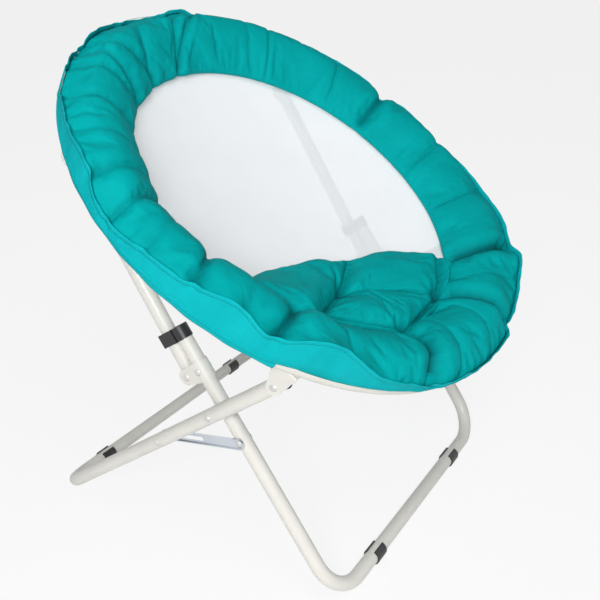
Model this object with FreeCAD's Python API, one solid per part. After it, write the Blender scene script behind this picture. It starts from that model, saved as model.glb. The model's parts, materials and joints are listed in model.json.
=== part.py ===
import FreeCAD, Part
import math
import os

os.makedirs("parts", exist_ok=True)
V = FreeCAD.Vector

# A folding saucer chair. X runs across the chair, with the sitter's left at +X, Y runs from front to
# back and Z up. The origin is on the floor, at the middle of the chair's box. All lengths are in
# millimetres and all angles in degrees.

# Tubes
leg_tube_diameter = 22.0
leg_tube_wall = 1.2
ring_tube_diameter = 25.0
ring_tube_wall = 1.2

# Leg frames, each one tube bent to a U, with its two legs and a floor bar between them
front_frame_half_width = 261.0
frames_apart = 7.0
frame_bend_radius = 60.0
floor_spread = 525.0
front_foot_to_scissor = 327.0
rear_foot_to_scissor = 425.0

# Linkage that lets the frames fold flat under the ring
scissor_to_seat_pivot = 142.0
scissor_to_knee = 60.5
knee_offset = 25.5
front_leg_past_knee = 68.0
front_pivot_reach = 209.0
front_pivot_drop = 51.0
back_pivot_reach = 217.0
back_pivot_drop = 59.5
tube_end_past_pivot = 13.0
knee_end_past_pivot = 8.0

# Limiter links between the lower legs
link_pivot_below_scissor = 56.0
link_pin_below_scissor = 125.5
link_width = 17.0
link_depth = 3.2
link_sheet = 1.2
link_lip = 1.4
link_end_margin = 11.0
link_washer = 0.8

# Seat ring
ring_radius = 365.0
joiner_length = 90.0

# Sheet metal brackets
bracket_sheet = 1.5
bracket_end_radius = 11.5
front_bracket_length = 40.0
back_bracket_length = 36.0
bracket_past_tube = 3.0
bracket_bend_radius = 2.0
knee_bracket_below = 16.0
knee_bracket_above = 14.0
knee_lobe_radius = 12.5

# Rivets
rivet_radius = 3.0
rivet_head_radius = 5.4
rivet_head_height = 2.1
spacer_radius = 7.0

# Moulded plastic
cap_length = 20.0
cap_wall = 1.6
cap_top = 2.0
saddle_arm = 9.0
saddle_wall = 1.9
plug_head = 2.0
plug_to_rivet = 1.0
foot_clip_wall = 2.4
foot_thickness = 2.0
foot_clip_length = 26.0
foot_clip_opening = 62.0
foot_clip_turn = 12.0
front_foot_half_spacing = 144.0
rear_foot_half_spacing = 188.0
bumper_length = 24.0

# Cloth and padding round the ring and in the bowl
cloth = 1.2
sleeve_gap = 0.4
collar_inwards = 93.0
collar_inner_drop = 16.0
collar_outwards = 16.0
crown_inwards = 27.0
crown_rise = 44.0
shoulder_inwards = 67.0
shoulder_rise = 19.0
roll_inwards = 84.0
roll_rise = 2.0
seam_angles = (19, 40, 81, 103, 139, 168, 187, 206, 224, 246, 262, 278, 298, 318, 335, 357)
seam_dip = 11.0
seam_inset = 4.0
tuck_turn = 140.0
outer_tuck_turn = 22.0
rim_rise = 25.0
right_lift = 36.0
right_lift_angle = 303.0
right_lift_spread = 42.0
left_lift = 20.0
left_lift_angle = 42.0
left_lift_spread = 52.0
back_sag = 7.0
back_sag_angle = 185.0
back_sag_spread = 40.0
band_low = 3.0
welt_height = 8.0
welt_thickness = 1.6
welt_lean = 1.5
bowl_depth = 78.0
mesh_rim_inwards = 89.0

# Corners of the seat pad's cells: the angle round the ring, and how far inside the collar's edge
pad_back_middle = (6.4, 147.2)
pad_back_left = (34.2, 15.7)
pad_back_right = (289.0, 13.9)
tuft_back = (334.0, 89.5)
tuft_left = (9.8, 12.2)
tuft_right = (338.5, 9.8)
pad_side_right = (313.5, 10.3)
pad_crown = 28.0
pad_seam_crown = 7.0

# Fits
rivet_clearance = 0.05
running_gap = 0.4
cradle_gap = 0.2
seat_gap = 0.05
soft_gap = 0.4

leg_radius = leg_tube_diameter / 2
ring_tube_radius = ring_tube_diameter / 2
bar_height = leg_radius + foot_thickness
rear_frame_half_width = front_frame_half_width + leg_tube_diameter + frames_apart
collar_inner_radius = ring_radius - collar_inwards
collar_outer_radius = ring_radius + collar_outwards
crown_radius = ring_radius - crown_inwards
shoulder_radius = ring_radius - shoulder_inwards
roll_radius = ring_radius - roll_inwards
mesh_rim_radius = ring_radius - mesh_rim_inwards


# The linkage, solved in the side plane. A point there is a pair (y, z), with y from the front bar.

def step(start, angle, length):
    """The point that lies a length away from another at an angle."""
    a = math.radians(angle)
    return (start[0] + length * math.cos(a), start[1] + length * math.sin(a))


def angle_between(start, end):
    return math.degrees(math.atan2(end[1] - start[1], end[0] - start[0]))


def triangle_angle(opposite, side_a, side_b):
    cosine = (side_a ** 2 + side_b ** 2 - opposite ** 2) / (2 * side_a * side_b)
    return math.degrees(math.acos(cosine))


def meet(centre_a, radius_a, centre_b, radius_b):
    """The upper crossing of two circles, where b lies in front of a."""
    gap = math.dist(centre_a, centre_b)
    turn = triangle_angle(radius_b, radius_a, gap)
    return step(centre_a, angle_between(centre_a, centre_b) - turn, radius_a)


front_foot = (0.0, bar_height)
rear_foot = (floor_spread, bar_height)
front_lean = triangle_angle(rear_foot_to_scissor, front_foot_to_scissor, floor_spread)
rear_lean = 180.0 - triangle_angle(front_foot_to_scissor, rear_foot_to_scissor, floor_spread)
scissor = step(front_foot, front_lean, front_foot_to_scissor)
seat_pivot = step(rear_foot, rear_lean, rear_foot_to_scissor + scissor_to_seat_pivot)
knee_along = front_foot_to_scissor + scissor_to_knee
knee = step(step(front_foot, front_lean, knee_along), front_lean - 90.0, knee_offset)

pivot_span = math.hypot(front_pivot_reach + back_pivot_reach, back_pivot_drop - front_pivot_drop)
folded_reach = scissor_to_seat_pivot - scissor_to_knee
support_length = math.sqrt(pivot_span ** 2 - knee_offset ** 2) - folded_reach
back_pivot = meet(knee, support_length, seat_pivot, pivot_span)
support_lean = angle_between(knee, back_pivot)
span_slope = math.degrees(math.atan2(back_pivot_drop - front_pivot_drop,
                                     front_pivot_reach + back_pivot_reach))
span_lean = angle_between(seat_pivot, back_pivot)
ring_tilt = span_lean + span_slope
ring_centre = step(step(seat_pivot, ring_tilt, front_pivot_reach), ring_tilt + 90.0, front_pivot_drop)

folded_lean = span_lean - math.degrees(math.asin(knee_offset / pivot_span))
rear_leg_turn = folded_lean - (rear_lean - 180.0)
front_leg_turn = folded_lean + 180.0 - front_lean
support_turn = folded_lean - support_lean

link_pivot_along = front_foot_to_scissor - link_pivot_below_scissor
link_pin_along = rear_foot_to_scissor - link_pin_below_scissor
link_pivot = step(front_foot, front_lean, link_pivot_along)
link_pin = step(rear_foot, rear_lean, link_pin_along)
link_lean = angle_between(link_pivot, link_pin)
link_reach = math.dist(link_pivot, link_pin)
link_slot_start = link_pin_below_scissor - link_pivot_below_scissor
link_turn = folded_lean - link_lean - front_leg_turn


# Helpers for solids

def along(shape, origin, lean):
    """Stands a shape made along +Z on a point of the side plane, leaning at an angle."""
    out = shape.copy()
    out.rotate(V(0, 0, 0), V(1, 0, 0), lean - 90.0)
    out.translate(V(0, origin[0], origin[1]))
    return out


def on_ring(shape):
    """Moves a shape made round the Z axis into the ring's plane, with its +Y towards the back."""
    out = shape.copy()
    out.rotate(V(0, 0, 0), V(1, 0, 0), ring_tilt)
    out.translate(V(0, ring_centre[0], ring_centre[1]))
    return out


def mirrored(shape):
    return shape.mirror(V(0, 0, 0), V(1, 0, 0))


def both_sides(shape):
    return [shape, mirrored(shape)]


def rod(x_low, x_high, radius, y=0.0, z=0.0):
    """A cylinder along X between two places."""
    return Part.makeCylinder(radius, x_high - x_low, V(x_low, y, z), V(1, 0, 0))


def block(x_low, x_high, y_low, y_high, z_low, z_high):
    return Part.makeBox(x_high - x_low, y_high - y_low, z_high - z_low, V(x_low, y_low, z_low))


def line(a, b):
    return Part.LineSegment(a, b).toShape()


def arc(a, middle, b):
    return Part.Arc(a, middle, b).toShape()


def face_of(edges):
    return Part.Face(Part.Wire(edges))


def polar(radius, angle, height=0.0):
    """A point of the ring's own frame. Angle 0 is the front and 90 the sitter's left."""
    a = math.radians(angle)
    return V(radius * math.sin(a), -radius * math.cos(a), height)


def head_dome(x_flat, way, y, z):
    """The edge of a rivet's domed head, from the axis to the rim, as a piece of a sphere."""
    ball = (rivet_head_radius ** 2 + rivet_head_height ** 2) / (2 * rivet_head_height)
    centre = x_flat + way * (rivet_head_height - ball)
    half = math.asin(rivet_head_radius / ball) / 2
    top = V(x_flat + way * rivet_head_height, y, z)
    middle = V(centre + way * ball * math.cos(half), y, z + ball * math.sin(half))
    return arc(top, middle, V(x_flat, y, z + rivet_head_radius))


def rivet(x_low, x_high, y=0.0, z=0.0):
    """A rivet along X with a domed head on each end, its heads seated on the two places."""
    low = x_low - seat_gap
    high = x_high + seat_gap
    edges = [
        line(V(low - rivet_head_height, y, z), V(high + rivet_head_height, y, z)),
        head_dome(high, 1, y, z),
        line(V(high, y, z + rivet_head_radius), V(high, y, z + rivet_radius)),
        line(V(high, y, z + rivet_radius), V(low, y, z + rivet_radius)),
        line(V(low, y, z + rivet_radius), V(low, y, z + rivet_head_radius)),
        head_dome(low, -1, y, z),
    ]
    return face_of(Part.sortEdges(edges)[0]).revolve(V(0, y, z), V(1, 0, 0), 360)


def half_rivet(x_head, x_end, y=0.0, z=0.0):
    """A rivet with one domed head, seated at x_head, and a plain shank that ends at x_end."""
    whole = rivet(min(x_head, x_end), max(x_head, x_end), y, z)
    beyond = 2 * rivet_head_radius
    if x_end > x_head:
        cutter = block(x_end, x_end + beyond, y - beyond, y + beyond, z - beyond, z + beyond)
    else:
        cutter = block(x_end - beyond, x_end, y - beyond, y + beyond, z - beyond, z + beyond)
    return whole.cut(cutter)


def hole(x_low, x_high, y=0.0, z=0.0):
    return rod(x_low, x_high, rivet_radius + rivet_clearance, y, z)


def write(name, shapes):
    """Keeps the solids of one named piece until the whole chair's box is known."""
    nodes[name] = list(shapes)


nodes = {}


# Leg frames

def bent_frame(half_width, leg_length, radius):
    """The solid round a U frame's path: two legs along +Z, two bends and a bar along X."""
    bend = frame_bend_radius
    flat = half_width - bend
    solid = rod(-flat, flat, radius)
    for side in (-1, 1):
        end = Part.Face(Part.Wire([Part.Circle(V(side * flat, 0, 0), V(1, 0, 0), radius).toShape()]))
        corner = end.revolve(V(side * flat, 0, bend), V(0, -side, 0), 90)
        leg = Part.makeCylinder(radius, leg_length - bend, V(side * half_width, 0, bend))
        solid = solid.fuse([corner, leg])
    return solid


def leg_frame(half_width, leg_length, hole_heights):
    """A bent tube frame with rivet holes across each leg at the given heights."""
    outer = bent_frame(half_width, leg_length, leg_radius)
    inner = bent_frame(half_width, leg_length, leg_radius - leg_tube_wall)
    frame = outer.cut(inner)
    for height in hole_heights:
        for side in (-1, 1):
            x = side * half_width
            frame = frame.cut(hole(x - leg_tube_diameter, x + leg_tube_diameter, 0, height))
    return frame


def end_plug(x, height, past_pivot, upwards=True):
    """A plug in a tube's end, with a domed head on it and a stem that stops short of the pivot."""
    plug_stem = past_pivot - rivet_radius - plug_to_rivet
    bore = leg_radius - leg_tube_wall
    way = 1 if upwards else -1
    head = Part.makeCylinder(leg_radius, plug_head, V(x, 0, height + way * seat_gap), V(0, 0, way))
    rim = [edge for edge in head.Edges
           if abs(edge.BoundBox.ZMin - (height + way * (plug_head + seat_gap))) < seat_gap
           and edge.BoundBox.ZLength < seat_gap]
    head = head.makeFillet(plug_head * 0.6, rim)
    stem = Part.makeCylinder(bore - seat_gap, plug_stem, V(x, 0, height), V(0, 0, -way))
    hollow = Part.makeCylinder(bore - cap_wall, plug_stem, V(x, 0, height), V(0, 0, -way))
    link = Part.makeCylinder(bore - seat_gap, seat_gap, V(x, 0, height), V(0, 0, way))
    return head.fuse([stem.cut(hollow), link]).removeSplitter()


def foot_clip(x):
    """A moulded clip round a floor bar, open at the top and cut flat where it meets the floor."""
    inner = leg_radius + seat_gap
    outer = leg_radius + foot_clip_wall
    low = x - foot_clip_length / 2
    high = x + foot_clip_length / 2
    clip = rod(low, high, outer).cut(rod(low, high, inner))
    reach = 2 * outer
    half = math.radians(foot_clip_opening / 2)
    turn = math.radians(foot_clip_turn)
    points = [V(low, 0, 0)]
    for a in (turn - half, turn + half):
        points.append(V(low, reach * math.sin(a), reach * math.cos(a)))
    mouth = face_of([line(points[0], points[1]), line(points[1], points[2]), line(points[2], points[0])])
    clip = clip.cut(mouth.extrude(V(foot_clip_length, 0, 0)))
    under = block(low, high, -outer, outer, -outer - leg_radius, -bar_height)
    return clip.cut(under)


def at_bar(shape, foot):
    out = shape.copy()
    out.translate(V(0, foot[0], foot[1]))
    return out


def front_legs():
    top = knee_along + front_leg_past_knee
    frame = leg_frame(front_frame_half_width, top,
                      [link_pivot_along, front_foot_to_scissor, knee_along])
    write("front_leg_frame", [along(frame, front_foot, front_lean)])
    write("front_foot_clips", [at_bar(foot_clip(x), front_foot)
                               for x in (-front_foot_half_spacing, front_foot_half_spacing)])


def rear_legs():
    top = rear_foot_to_scissor + scissor_to_seat_pivot + tube_end_past_pivot
    frame = leg_frame(rear_frame_half_width, top,
                      [link_pin_along, rear_foot_to_scissor, rear_foot_to_scissor + scissor_to_seat_pivot])
    write("rear_leg_frame", [along(frame, rear_foot, rear_lean)])
    plugs = [end_plug(x, top, tube_end_past_pivot)
             for x in (-rear_frame_half_width, rear_frame_half_width)]
    write("rear_leg_plugs", [along(plug, rear_foot, rear_lean) for plug in plugs])
    write("rear_foot_clips", [at_bar(foot_clip(x), rear_foot)
                              for x in (-rear_foot_half_spacing, rear_foot_half_spacing)])


def saddle_cap():
    """The cap on a front leg's top, with a cradle behind it that the back support rests in."""
    top = knee_along + front_leg_past_knee
    x = front_frame_half_width
    low = top + cap_top - cap_length
    cap = Part.makeCylinder(leg_radius + cap_wall, cap_length, V(x, 0, low))
    lip = [edge for edge in cap.Edges if edge.BoundBox.ZMin > top and edge.BoundBox.ZLength < seat_gap]
    cap = cap.makeFillet(cap_wall * 0.8, lip)
    half = leg_radius + cradle_gap + saddle_wall
    cradle = block(x - half, x + half, leg_radius * 0.5, knee_offset + saddle_arm, low, low + cap_length)
    corners = [edge for edge in cradle.Edges
               if edge.BoundBox.ZLength > cap_length * 0.9 and edge.BoundBox.YMin > leg_radius]
    cradle = cradle.makeFillet(saddle_wall * 0.45, corners)
    body = cap.fuse(cradle).removeSplitter()
    trough = Part.makeCylinder(leg_radius + cradle_gap, 2 * top, V(x, knee_offset, knee_along))
    trough.rotate(V(x, knee_offset, knee_along), V(1, 0, 0), support_lean - front_lean)
    mouth = block(x - leg_radius - cradle_gap, x + leg_radius + cradle_gap, knee_offset,
                  knee_offset + 2 * leg_tube_diameter, low - cap_length, low + 2 * cap_length)
    seat = Part.makeCylinder(leg_radius + seat_gap, top + seat_gap - low + cap_length,
                             V(x, 0, low - cap_length))
    return body.cut(trough).cut(mouth).cut(seat)


def knee_bracket():
    """A channel wrapped round the front of a front leg, whose cheeks carry the support's pivot."""
    x = front_frame_half_width
    inner = leg_radius + running_gap
    outer = inner + bracket_sheet
    low = knee_along - knee_bracket_below
    high = knee_along + knee_bracket_above
    height = high - low
    rear = knee_offset + knee_lobe_radius
    shell = Part.makeCylinder(outer, height, V(x, 0, low))
    shell = shell.fuse(block(x - outer, x + outer, 0, rear, low, high))
    shell = shell.cut(Part.makeCylinder(inner, height, V(x, 0, low)))
    shell = shell.cut(block(x - inner, x + inner, 0, rear, low, high))
    lobe = face_of([
        line(V(x - outer, -outer, low), V(x - outer, 0, low)),
        line(V(x - outer, 0, low), V(x - outer, knee_offset, knee_along - knee_lobe_radius)),
        arc(V(x - outer, knee_offset, knee_along - knee_lobe_radius),
            V(x - outer, rear, knee_along),
            V(x - outer, knee_offset, knee_along + knee_lobe_radius)),
        line(V(x - outer, knee_offset, knee_along + knee_lobe_radius), V(x - outer, 0, high)),
        line(V(x - outer, 0, high), V(x - outer, -outer, high)),
        line(V(x - outer, -outer, high), V(x - outer, -outer, low)),
    ])
    shell = shell.common(lobe.extrude(V(2 * outer, 0, 0)))
    for y in (0.0, knee_offset):
        shell = shell.cut(hole(x - 2 * outer, x + 2 * outer, y, knee_along))
    return shell.removeSplitter()


def front_leg_fittings():
    x = front_frame_half_width
    for name, shape in (("saddle_cap", saddle_cap()), ("knee_bracket", knee_bracket())):
        write(name + "_left", [along(shape, front_foot, front_lean)])
        write(name + "_right", [along(mirrored(shape), front_foot, front_lean)])
    cheek = leg_radius + running_gap + bracket_sheet
    fixing = rivet(x - cheek, x + cheek, 0, knee_along)
    write("knee_fixing_rivets", [along(s, front_foot, front_lean) for s in both_sides(fixing)])
    hinge = rivet(x - cheek, x + cheek, knee_offset, knee_along)
    write("knee_pivot_rivets", [along(s, front_foot, front_lean) for s in both_sides(hinge)])
    outside = x + leg_radius
    facing = rear_frame_half_width - leg_radius - running_gap
    spacer = rod(outside + seat_gap, facing, spacer_radius, 0, front_foot_to_scissor)
    spacer = spacer.cut(hole(outside, facing, 0, front_foot_to_scissor))
    write("scissor_spacers", [along(s, front_foot, front_lean) for s in both_sides(spacer)])
    tail = half_rivet(x - leg_radius, facing, 0, front_foot_to_scissor)
    write("scissor_rivet_tails", [along(s, front_foot, front_lean) for s in both_sides(tail)])
    link_face = outside + 2 * seat_gap + link_washer + link_sheet
    washer = rod(outside + seat_gap, outside + seat_gap + link_washer, rivet_head_radius, 0,
                 link_pivot_along)
    washer = washer.cut(hole(outside, link_face, 0, link_pivot_along))
    write("link_washers", [along(s, front_foot, front_lean) for s in both_sides(washer)])
    pin = rivet(x - leg_radius, link_face, 0, link_pivot_along)
    write("link_pivot_rivets", [along(s, front_foot, front_lean) for s in both_sides(pin)])


def rear_leg_fittings():
    x = rear_frame_half_width
    head = half_rivet(x + leg_radius, x - leg_radius, 0, rear_foot_to_scissor)
    write("scissor_rivet_heads", [along(s, rear_foot, rear_lean) for s in both_sides(head)])
    link_outside = front_frame_half_width + leg_radius + 2 * seat_gap + link_washer + link_depth
    stub = half_rivet(x + leg_radius, link_outside + running_gap, 0, link_pin_along)
    write("link_pin_rivets", [along(s, rear_foot, rear_lean) for s in both_sides(stub)])


# Limiter link

def link():
    """A slotted channel strip, made along +Z from its pivot, its lips facing the rear leg."""
    x = front_frame_half_width + leg_radius + 2 * seat_gap + link_washer
    half = link_width / 2
    end = link_reach + link_end_margin

    def outline(radius, depth_low, depth_high):
        """The strip's round-ended prism of a half width, between two depths from its back."""
        top = end - half
        edges = [
            line(V(x + depth_low, -radius, 0), V(x + depth_low, -radius, top)),
            arc(V(x + depth_low, -radius, top), V(x + depth_low, 0, top + radius),
                V(x + depth_low, radius, top)),
            line(V(x + depth_low, radius, top), V(x + depth_low, radius, 0)),
            arc(V(x + depth_low, radius, 0), V(x + depth_low, 0, -radius), V(x + depth_low, -radius, 0)),
        ]
        return face_of(edges).extrude(V(depth_high - depth_low, 0, 0))

    strip = outline(half, 0, link_depth).cut(outline(half - link_lip, link_sheet, link_depth))
    strip = strip.cut(hole(x - link_depth, x + 2 * link_depth))
    slot_half = rivet_radius + running_gap
    slot = face_of([
        line(V(x, -slot_half, link_slot_start), V(x, -slot_half, link_reach)),
        arc(V(x, -slot_half, link_reach), V(x, 0, link_reach + slot_half), V(x, slot_half, link_reach)),
        line(V(x, slot_half, link_reach), V(x, slot_half, link_slot_start)),
        arc(V(x, slot_half, link_slot_start), V(x, 0, link_slot_start - slot_half),
            V(x, -slot_half, link_slot_start)),
    ])
    return strip.cut(slot.extrude(V(link_depth, 0, 0)))


def links():
    strip = link()
    write("link_left", [along(strip, link_pivot, link_lean)])
    write("link_right", [along(mirrored(strip), link_pivot, link_lean)])


# Back supports

def back_support(x):
    """A straight tube from the knee to the ring's back bracket, made along +Z from the knee."""
    low = -knee_end_past_pivot
    length = support_length + tube_end_past_pivot - low
    tube = Part.makeCylinder(leg_radius, length, V(x, 0, low))
    tube = tube.cut(Part.makeCylinder(leg_radius - leg_tube_wall, length, V(x, 0, low)))
    for height in (0.0, support_length):
        tube = tube.cut(hole(x - leg_tube_diameter, x + leg_tube_diameter, 0, height))
    return tube


def back_supports():
    x = front_frame_half_width
    write("back_support_left", [along(back_support(x), knee, support_lean)])
    write("back_support_right", [along(back_support(-x), knee, support_lean)])
    plugs = []
    for side in (-x, x):
        plugs.append(end_plug(side, support_length + tube_end_past_pivot, tube_end_past_pivot))
        plugs.append(end_plug(side, -knee_end_past_pivot, knee_end_past_pivot, upwards=False))
    write("back_support_plugs", [along(plug, knee, support_lean) for plug in plugs])


# Seat ring

def ring_piece(radius, start, sweep):
    """A solid bent round the ring's centreline, from an angle and through a sweep."""
    circle = Part.Circle(V(ring_radius, 0, 0), V(0, 1, 0), radius).toShape()
    solid = face_of([circle]).revolve(V(0, 0, 0), V(0, 0, 1), sweep)
    solid.rotate(V(0, 0, 0), V(0, 0, 1), start)
    return solid


def ring_tube(start, sweep):
    outer = ring_piece(ring_tube_radius, start, sweep)
    return outer.cut(ring_piece(ring_tube_radius - ring_tube_wall, start, sweep))


def ring_frame():
    """Two half rings, butted at the sides over a sleeve inside the tube."""
    write("ring_tube_front", [on_ring(ring_tube(180.0, 180.0))])
    write("ring_tube_rear", [on_ring(ring_tube(0.0, 180.0))])
    bore = ring_tube_radius - ring_tube_wall
    sweep = math.degrees(joiner_length / ring_radius)
    sleeves = []
    for middle in (0.0, 180.0):
        sleeve = ring_piece(bore - seat_gap, middle - sweep / 2, sweep)
        sleeves.append(on_ring(sleeve.cut(ring_piece(bore - cap_wall, middle - sweep / 2, sweep))))
    write("ring_joiner_sleeves", sleeves)


def cheek_profile(x, y_low, y_high, pivot_y, drop, top):
    """A bracket cheek's outline: wide under the ring tube and round about the pivot."""
    r = bracket_end_radius
    return face_of([
        line(V(x, y_low, -top), V(x, y_high, -top)),
        line(V(x, y_high, -top), V(x, pivot_y + r, -drop)),
        arc(V(x, pivot_y + r, -drop), V(x, pivot_y, -drop - r), V(x, pivot_y - r, -drop)),
        line(V(x, pivot_y - r, -drop), V(x, y_low, -top)),
    ])


def clevis(x, y_low, y_high, pivot_y, drop):
    """A folded bracket under the ring tube: a web along the tube and two cheeks down to a pivot."""
    top = ring_tube_radius + seat_gap
    inner = leg_radius + running_gap
    outer = inner + bracket_sheet
    prism = cheek_profile(x - outer, y_low, y_high, pivot_y, drop, top).extrude(V(2 * outer, 0, 0))
    bends = [edge for edge in prism.Edges
             if edge.BoundBox.ZMin > -top - seat_gap and edge.BoundBox.YLength > seat_gap]
    prism = prism.makeFillet(bracket_bend_radius, bends)
    reach = drop + 2 * bracket_end_radius
    inside = block(x - inner, x + inner, y_low - reach, y_high + reach, -reach, -top - bracket_sheet)
    bracket = prism.cut(inside)
    return bracket.cut(hole(x - 2 * outer, x + 2 * outer, pivot_y, -drop))


def ring_crossing(half_width):
    """How far from the ring's middle, front to back, its tube crosses a leg frame's plane."""
    return math.sqrt(ring_radius ** 2 - half_width ** 2)


def ring_brackets():
    cheek = leg_radius + running_gap + bracket_sheet
    x = rear_frame_half_width
    outer_end = -ring_crossing(x) - bracket_past_tube
    front = clevis(x, outer_end, outer_end + front_bracket_length, -front_pivot_reach, front_pivot_drop)
    write("front_bracket_left", [on_ring(front)])
    write("front_bracket_right", [on_ring(mirrored(front))])
    hinge = rivet(x - cheek, x + cheek, -front_pivot_reach, -front_pivot_drop)
    write("front_pivot_rivets", [on_ring(s) for s in both_sides(hinge)])
    x = front_frame_half_width
    outer_end = ring_crossing(x) + bracket_past_tube
    back = clevis(x, outer_end - back_bracket_length, outer_end, back_pivot_reach, back_pivot_drop)
    write("back_bracket_left", [on_ring(back)])
    write("back_bracket_right", [on_ring(mirrored(back))])
    hinge = rivet(x - cheek, x + cheek, back_pivot_reach, -back_pivot_drop)
    write("back_pivot_rivets", [on_ring(s) for s in both_sides(hinge)])


def ring_bumper():
    """A soft clip under the front of the ring tube, which guards the ring when it is stood up."""
    sweep = math.degrees(bumper_length / ring_radius)
    start = 270.0 - sweep / 2
    outer = ring_piece(ring_tube_radius + foot_clip_wall, start, sweep)
    clip = outer.cut(ring_piece(ring_tube_radius + seat_gap, start, sweep))
    reach = ring_radius + ring_tube_diameter
    above = block(-reach, reach, -reach, reach, 0, reach)
    write("ring_bumper", [on_ring(clip.cut(above))])


# Cloth and padding, in the ring's own frame

sleeve_inner = ring_tube_radius + sleeve_gap
sleeve_outer = sleeve_inner + cloth
bracket_half = leg_radius + running_gap + bracket_sheet


def round_ring(edges, start, sweep):
    """Turns a flat section, drawn at the front of the ring, round the ring's axis."""
    solid = face_of(edges).revolve(V(0, 0, 0), V(0, 0, 1), sweep)
    solid.rotate(V(0, 0, 0), V(0, 0, 1), start)
    return solid


def sleeve():
    """The cloth tunnel round the back and sides of the ring tube, cut away at the back brackets."""
    front_edge = math.degrees(math.asin(rear_frame_half_width / ring_radius))
    start = front_edge + math.degrees(front_bracket_length / ring_radius) - 90.0
    sweep = 360.0 - 2 * (start + 90.0)
    tunnel = ring_piece(sleeve_outer, start, sweep).cut(ring_piece(sleeve_inner, start, sweep))
    high = ring_crossing(front_frame_half_width) + bracket_past_tube + soft_gap
    low = high - back_bracket_length - 2 * soft_gap
    half = bracket_half + soft_gap
    for x in (-front_frame_half_width, front_frame_half_width):
        tunnel = tunnel.cut(block(x - half, x + half, low, high, -2 * sleeve_outer, 0))
    return tunnel


def swell(angle, height, middle, spread):
    """A smooth rise of a height about an angle of the ring, which fades out on each side."""
    away = abs((angle - middle + 180.0) % 360.0 - 180.0)
    if away >= spread:
        return 0.0
    return height * math.cos(math.radians(90.0 * away / spread)) ** 2


def rim_height(angle, dip):
    """The height of the rim's upper edge: high beside the sitter's knees and low at the back."""
    lifts = swell(angle, right_lift, right_lift_angle, right_lift_spread)
    lifts += swell(angle, left_lift, left_lift_angle, left_lift_spread)
    lifts -= swell(angle, back_sag, back_sag_angle, back_sag_spread)
    return rim_rise + lifts - dip / 2


def collar_section(angle, dip, inset):
    """The padded collar's section in a radial plane, drawn in by a dip and an inset at a seam."""
    over = over_tube
    inner_turn = math.radians(tuck_turn)
    outer_turn = math.radians(outer_tuck_turn)
    edge_rise = rim_height(angle, dip)
    lift = (edge_rise - rim_rise) / 4
    low = polar(collar_inner_radius, angle, -collar_inner_drop)
    tuck = polar(ring_radius + over * math.cos(inner_turn), angle, over * math.sin(inner_turn))
    ridge = polar(ring_radius, angle, over)
    drop = polar(ring_radius + over * math.cos(outer_turn), angle, over * math.sin(outer_turn))
    edge = polar(collar_outer_radius - inset, angle, edge_rise)
    crown = polar(crown_radius, angle, crown_rise + lift - dip)
    shoulder = polar(shoulder_radius, angle, shoulder_rise + lift - dip * 0.7)
    roll = polar(roll_radius, angle, roll_rise - dip * 0.3)
    return Part.Wire([
        line(low, tuck),
        arc(tuck, ridge, drop),
        line(drop, edge),
        arc(edge, crown, shoulder),
        arc(shoulder, roll, low),
    ])


def band_section(angle, dip, inset):
    """The upright band's section, from the ring tube's side up to the rim's edge."""
    low_radius = collar_outer_radius + soft_gap
    radius = low_radius - inset
    top = rim_height(angle, dip)
    corners = [
        polar(low_radius, angle, band_low),
        polar(low_radius + cloth, angle, band_low),
        polar(radius + cloth, angle, top),
        polar(radius, angle, top),
    ]
    return Part.makePolygon(corners + corners[:1])


def welt_section(angle, dip, inset):
    """The section of the sewn welt that stands along the rim's edge."""
    radius = collar_outer_radius + soft_gap + cloth - welt_thickness - inset
    low = rim_height(angle, dip) + soft_gap
    corners = [
        polar(radius, angle, low),
        polar(radius + welt_thickness, angle, low),
        polar(radius + welt_thickness + welt_lean, angle, low + welt_height),
        polar(radius + welt_lean, angle, low + welt_height),
    ]
    return Part.makePolygon(corners + corners[:1])


def round_panels(section):
    """One loft for each panel of the collar, full in the middle and drawn in at its two seams."""
    panels = []
    for index, start in enumerate(seam_angles):
        end = seam_angles[(index + 1) % len(seam_angles)]
        turn = (end - start) % 360.0
        panels.append(Part.makeLoft([
            section(start, seam_dip, seam_inset),
            section(start + turn / 2, 0.0, 0.0),
            section(start + turn, seam_dip, seam_inset),
        ], True, False))
    return panels


over_tube = sleeve_outer + soft_gap
tuck_radius = ring_radius + over_tube * math.cos(math.radians(tuck_turn))
tuck_height = over_tube * math.sin(math.radians(tuck_turn))
underside_slope = (tuck_height + collar_inner_drop) / (tuck_radius - collar_inner_radius)
mesh_rim_drop = collar_inner_drop - underside_slope * (mesh_rim_radius - collar_inner_radius) + soft_gap
bowl_rise = bowl_depth - mesh_rim_drop
bowl_ball = (mesh_rim_radius ** 2 + bowl_rise ** 2) / (2 * bowl_rise)


def bowl_height(radius):
    """The height of the mesh bowl's upper face at a radius. It is a piece of a ball."""
    return bowl_ball - bowl_depth - math.sqrt(bowl_ball ** 2 - radius ** 2)


def mesh_bowl():
    """The sheer mesh that is slung inside the rim, dished towards its middle."""
    middle = V(0, 0, bowl_ball - bowl_depth)
    edge_turn = math.asin(mesh_rim_radius / bowl_ball)

    def on_ball(radius, turn):
        return middle + V(0, -radius * math.sin(turn), -radius * math.cos(turn))

    under = bowl_ball + cloth
    return round_ring([
        line(on_ball(bowl_ball, 0), on_ball(under, 0)),
        arc(on_ball(under, 0), on_ball(under, edge_turn / 2), on_ball(under, edge_turn)),
        line(on_ball(under, edge_turn), on_ball(bowl_ball, edge_turn)),
        arc(on_ball(bowl_ball, edge_turn), on_ball(bowl_ball, edge_turn / 2), on_ball(bowl_ball, 0)),
    ], 0.0, 360.0)


def pad_place(corner):
    """A corner of the pad, as a place across and towards the back from the ring's middle."""
    point = polar(collar_inner_radius - corner[1], corner[0])
    return (point.x, point.y)


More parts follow.
